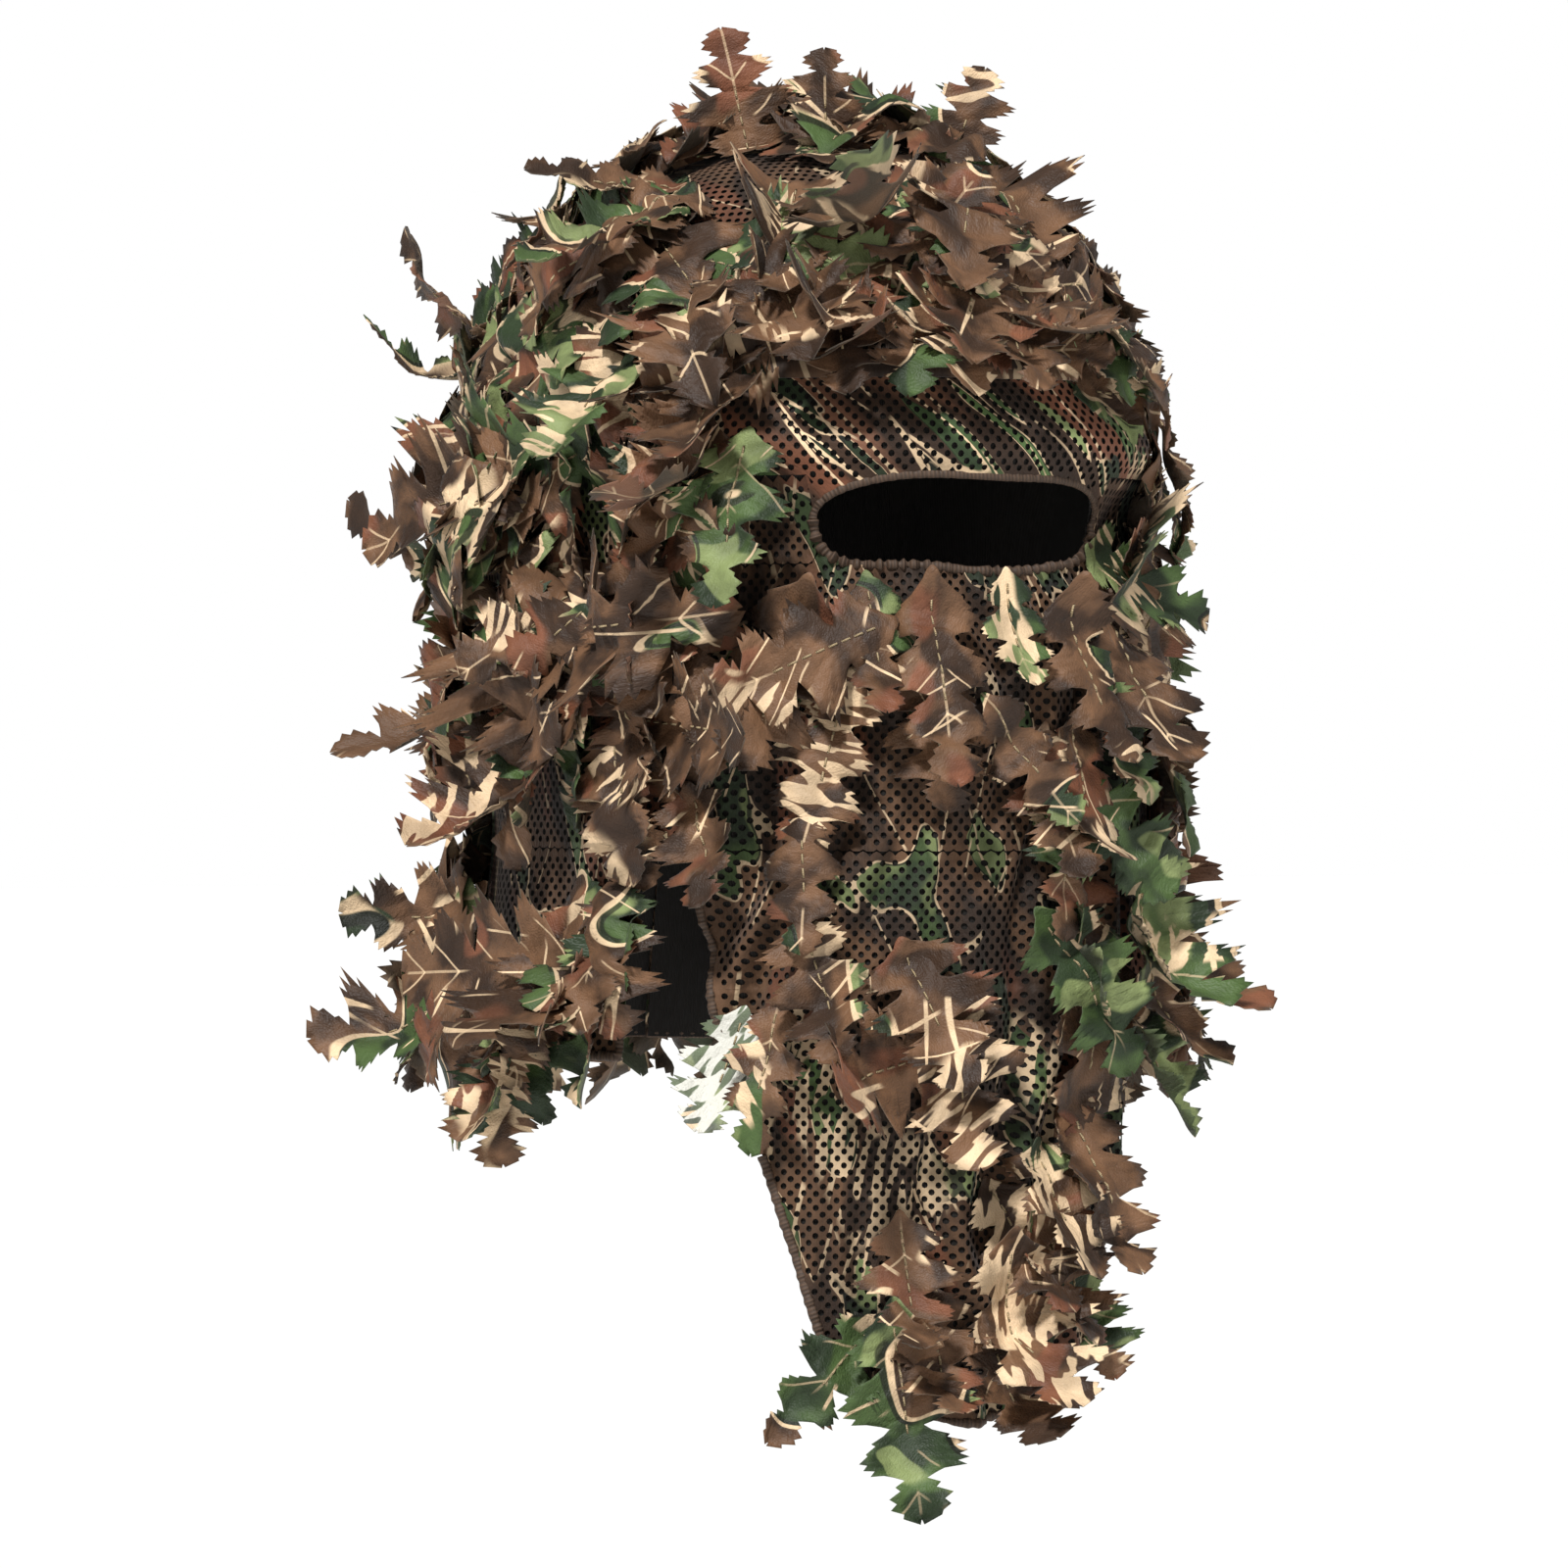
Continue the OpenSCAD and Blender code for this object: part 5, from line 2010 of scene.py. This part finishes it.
def placed_leaves() -> dict[str, tuple[Pose, ...]]:
    """The leaves that give the mask its outline and its face, each placed one by one.

    Returns:
        The poses of each zone's own leaves, by node.
    """
    up = {"lift": 3 * MM, "curl": 6.0, "crease": 0.1, "crumple": 0.35}
    return {
        "leaves_top": (
            leaf(-60, 5, 215, 78, 44, 32, 0.05, bend=8, twist=12, **up),
            leaf(-22, 4, 178, 76, 35, 26, 0.2, bend=-8, twist=-30, **up),
            leaf(30, 9, 125, 74, 37, 28, 0.75, bend=-10, twist=10, **up),
            leaf(-71, 18, -44, 36, 50, 24, 0.5, bend=-10), leaf(-25, 24, 20, 20, 66, 46, 0.15, curl=14),
            leaf(8, 22, -25, 16, 60, 42, 0.05, curl=14), leaf(26, 14, 0, 4, 50, 38, 0.3, bend=-34),
            leaf(-62, 26, -30, 20, 62, 42, 0.6, curl=20),
        ),
        "leaves_crown_right": (
            leaf(-116, 62, -150, 66, 56, 32, 0.05, bend=-10),
            leaf(-119, 72, -30, 84, 46, 22, 0.7, bend=-8, twist=40), leaf(-45, 66, 4, 14, 60, 40, 0.1),
            leaf(-62, 60, -10, 20, 64, 42, 0.85), leaf(-35, 44, 20, 18, 58, 42, 0.2),
            leaf(-20, 42, -18, 15, 52, 38, 0.0), leaf(-30, 58, 62, 12, 48, 32, 0.3),
            leaf(-24, 56, 4, 26, 40, 32, 0.1, bend=-10), leaf(-10, 58, -16, 28, 38, 30, 0.7, bend=-10),
            leaf(-8, 50, 12, 17, 46, 34, 0.55, curl=24), leaf(-54, 48, 30, 22, 58, 40, 0.0),
        ),
        "leaves_crown_left": (
            leaf(24, 46, 85, 20, 44, 28, 0.1, bend=-30, sewn_at=0.4),
            leaf(20, 62, 80, 18, 42, 28, 0.15, bend=-20, sewn_at=0.4),
            leaf(34, 78, 84, 26, 54, 28, 0.9, bend=-35, sewn_at=0.4), leaf(2, 44, -20, 18, 54, 40, 0.1),
            leaf(12, 50, 20, 18, 46, 34, 0.3), leaf(28, 48, 8, 20, 50, 36, 0.0),
            leaf(4, 64, 78, 12, 44, 28, 0.4), leaf(8, 56, -6, 28, 40, 30, 0.2, bend=-10),
            leaf(24, 58, 10, 26, 38, 30, 0.85, bend=-10), leaf(38, 60, 6, 24, 46, 34, 0.1, bend=-10),
        ),
        "leaves_side_right": (
            leaf(-39, 94, -3, 14, 60, 34, 0.95, bend=5), leaf(-50, 84, 6, 16, 62, 40, 0.3),
            leaf(-92, 100, -62, 34, 66, 42, 0.1, curl=20),
            leaf(-118, 130, -160, 72, 52, 24, 0.5, bend=-14),
            leaf(-112, 168, -30, 60, 46, 28, 0.1, bend=-40),
            leaf(-80, 176, -20, 20, 66, 44, 0.05, curl=24), leaf(-68, 132, -50, 24, 60, 42, 0.15),
            leaf(-62, 176, 8, 16, 58, 38, 0.3, bend=-10), leaf(-58, 128, 16, 14, 58, 38, 0.0, bend=-10),
        ),
        "leaves_skirt_right": (
            leaf(-108, 238, -84, 62, 50, 32, 1.0, bend=-20),
            leaf(-98, 264, -60, 26, 50, 34, 0.0, bend=-20),
            leaf(-118, 258, -20, 34, 46, 32, 0.8, bend=-20),
            leaf(-112, 263, -46, 46, 54, 36, 0.95, bend=-8),
        ),
        "leaves_flap_right": (
            leaf(-70, 236, -6, 12, 56, 38, 0.1, bend=-6, curl=24),
            leaf(-72, 252, -86, 14, 66, 48, 0.0, bend=2, curl=14, lift=13 * MM, crumple=0.4),
            leaf(-88, 270, -56, 26, 64, 42, 1.0, bend=-14, crumple=0.6),
            leaf(-84, 268, 4, 18, 46, 34, 0.85, bend=-10), leaf(-67, 250, 2, 12, 50, 36, 1.0, bend=-8),
            leaf(-76, 258, -8, 14, 46, 34, 0.9, bend=-8),
        ),
        "leaves_side_left": (
            leaf(36, 132, 62, 12, 44, 28, 0.9, bend=-44, sewn_at=0.4),
            leaf(54, 104, 20, 28, 42, 26, 0.7, bend=-50), leaf(56, 86, 10, 18, 52, 34, 0.1, bend=-30),
            leaf(47, 122, -8, 16, 54, 36, 0.3, bend=-24), leaf(55, 140, 6, 16, 56, 36, 0.0, bend=-24),
            leaf(52, 180, 10, 16, 60, 40, 0.2, bend=-20), leaf(70, 194, 6, 8, 52, 38, 0.3, bend=-20),
            leaf(82, 190, -8, 9, 58, 40, 0.0, bend=-20), leaf(95, 196, 10, 10, 56, 38, 0.75, bend=-20),
            leaf(108, 192, -4, 10, 60, 42, 0.2, bend=-20), leaf(121, 198, 8, 12, 54, 38, 0.6, bend=-20),
        ),
        "leaves_skirt_left": (
            leaf(72, 262, 30, 44, 42, 28, 0.75, bend=-40), leaf(93, 226, -6, 9, 50, 36, 0.1, bend=-16),
            leaf(105, 232, 6, 10, 50, 36, 0.5, bend=-16),
            leaf(117, 236, -8, 12, 48, 34, 0.85, bend=-16),
        ),
        "leaves_flap_left": (
            leaf(71, 238, 4, 9, 50, 36, 0.2, bend=-16), leaf(82, 251, -6, 10, 46, 34, 0.7, bend=-16),
            leaf(89, 261, 5, 10, 42, 32, 0.0, bend=-16),
        ),
        "leaves_face_right": (
            leaf(-58, 176, 86, 10, 66, 42, 0.0, bend=10, crumple=0.4),
            leaf(-49, 136, 4, 10, 50, 34, 0.2), leaf(-50, 200, 24, 14, 44, 30, 0.1),
            leaf(-42, 160, -12, 14, 42, 28, 0.7),
        ),
        "leaves_face_centre": (
            leaf(-31, 144, -24, 12, 60, 40, 0.3, bend=2, curl=-44),
            leaf(-20, 150, -70, 12, 60, 40, 0.1, bend=4, curl=-30),
            leaf(-25, 168, -14, 12, 58, 34, -0.2, bend=-4, curl=-50),
            leaf(-31, 204, 2, 12, 48, 28, 0.05, bend=-4, curl=-66),
            leaf(-10, 142, 2, 13, 66, 36, 0.0, bend=-4, curl=-60),
            leaf(-10, 166, 4, 13, 44, 34, 0.0, curl=-50),
            leaf(-20, 138, 4, 16, 50, 26, 0.8, bend=4, curl=-80),
            leaf(0, 174, 36, 16, 48, 28, 0.6, bend=8, curl=-62),
            leaf(4, 137, 4, 16, 38, 22, 1.0, curl=-62),
        ),
        "leaves_face_left": (
            leaf(30, 138, 2, 16, 68, 42, 0.05, bend=2, curl=-44, crumple=0.8),
            leaf(17, 144, 6, 16, 60, 34, 0.35, curl=-58, crumple=0.8),
            leaf(18, 180, -4, 14, 52, 34, 0.1, curl=-40), leaf(24, 168, 10, 20, 42, 28, 1.0),
            leaf(42, 166, 4, 12, 58, 40, 0.6, bend=-20, crumple=0.6),
            leaf(16, 198, 46, 16, 54, 38, 0.75), leaf(10, 184, 4, 14, 50, 32, 0.05, curl=-40),
            leaf(15, 202, -8, 14, 46, 32, 0.7, curl=-30),
        ),
        "leaves_bib_upper": (
            leaf(-8, 275, -76, 14, 62, 44, 0.0, bend=8, curl=-20),
            leaf(-6, 258, 4, 12, 62, 36, -0.2, bend=6), leaf(-14, 246, 24, 12, 52, 38, 0.1),
            leaf(22, 250, 0, 16, 66, 42, 0.1), leaf(12, 238, 30, 18, 56, 40, 0.9),
            leaf(32, 256, 6, 18, 58, 38, 0.6),
            leaf(-42, 267, -12, 18, 42, 32, 1.28, bend=24, crumple=0.5),
            leaf(-35, 264, -8, 14, 46, 24, 0.35), leaf(-30, 240, 20, 12, 50, 34, 0.1),
            leaf(34, 238, 10, 18, 60, 40, 0.75), leaf(32, 220, 2, 16, 60, 42, 0.65),
            leaf(44, 226, 6, 16, 60, 40, 0.4), leaf(22, 223, -12, 18, 54, 36, 0.9),
        ),
        "leaves_bib_lower": (
            leaf(21, 296, 2, 16, 58, 38, 0.4), leaf(12, 304, 8, 18, 50, 34, 0.05),
            leaf(14, 322, 0, 14, 54, 36, 0.3), leaf(4, 318, 24, 18, 50, 32, 0.1),
            leaf(4, 338, 8, 14, 64, 36, -0.2), leaf(-14, 328, 6, 12, 46, 28, 0.3),
            leaf(-9, 350, 10, 14, 46, 32, 0.1), leaf(19, 344, 6, 22, 38, 26, 0.9, bend=10),
            leaf(-15, 358, 8, 12, 66, 38, 0.95, bend=-6, curl=26),
            leaf(-19, 358, -42, 16, 50, 26, 0.7, curl=30), leaf(3, 362, 12, 18, 44, 30, 0.15, curl=30),
        ),
    }


def leaf_zones() -> list[Zone]:
    """The zones of leaves, with the way that each lies."""
    zones = [
        Zone("leaves_top", Body.HOOD, 0.4, "stitches_crown", 4, 140, (2, 16), 0.1, 0.95, reach=21 * MM),
        Zone("leaves_crown_back", Body.HOOD, 0.4, "stitches_crown", spread=90, reach=24 * MM),
    ]
    for side in Side:
        word = side.word
        high, reach, low = (23, 34, 44) if side is Side.RIGHT else (19, 21, 25)
        zones += [
            Zone(
                f"leaves_crown_{word}", Body.HOOD, 0.4, "stitches_crown", 4, 90, raised=0.14, reach=high * MM
            ),
            Zone(f"leaves_side_{word}", Body.HOOD, 0.38, "stitches_sides", 4, reach=reach * MM),
            Zone(f"leaves_back_{word}", Body.HOOD, 0.4, "stitches_back", 4),
            Zone(f"leaves_face_{word}", Body.HOOD, 0.35, "stitches_face", layers=0),
            Zone(
                f"leaves_skirt_{word}", Body.HOOD, 0.45, "stitches_skirt", 6, 50, skirt=True, reach=low * MM
            ),
            Zone(
                f"leaves_flap_{word}", Body[f"FLAP_{side.name}"], 0.4, None, 5, 35, size=1.3, skirt=True,
                reach=low * MM,
            ),
        ]
    zones += [
        Zone("leaves_nape", Body.HOOD, 0.5, "stitches_back"),
        Zone("leaves_face_centre", Body.HOOD, 0.3, "stitches_face", layers=0),
        Zone("leaves_bib_upper", Body.BIB_TOP, 0.4, "stitches_bib_upper", layers=0),
        Zone("leaves_bib_lower", Body.BIB_TIP, 0.5, "stitches_bib_lower", layers=0),
    ]
    placed = placed_leaves()
    return [
        replace(zone, placed=tuple(replace(pose, skirt=zone.skirt) for pose in placed.get(zone.node, ())))
        for zone in zones
    ]


def main() -> None:
    """Builds the mask and the studio."""
    logging.basicConfig(level=logging.INFO, format="%(message)s")
    Studio().build()
    form = HoodForm.from_frame()
    thread = WovenTape("stitch_thread", "#c9b48e", "#9a8562", 0.5 * MM, 0.6).make()
    net_print = NetYarn().make()
    # Near-black cloth laid behind the net: painted shade for the hood's unlit inside, seen through the holes.
    backing = WovenTape("backing_cloth", "#1b1611", "#0d0a08", 0.6 * MM, 0.9).make()
    # The brow band's net: a finer, more streaked print in lighter browns and greens, with no painted shade
    # mixed in.
    brow_print = NetYarn(
        "brow_print", 0.43, 0.0,
        CamoPrint(brown="#8c5f47", green="#56703f", patch_scale=125.0, grain=0.17, streaked=0.36),
    ).make()
    HoodNets(form, Net(form, net_print, backing), brow_print).build()
    Leaves(form, LeafFace().make(), LeafFace("leaf_reverse", 0.16, 0.7).make(), thread).build(leaf_zones())
    Trims(
        form,
        tape=net_print,
        hem=WovenTape("rolled_hem", "#5b4534", "#2c2119", 1.3 * MM).make(),
        elastic=WovenTape("flat_elastic", "#2b2724", "#15120f", 1.6 * MM).make(),
        thread=thread,
    ).build()


if __name__ == "__main__":
    main()
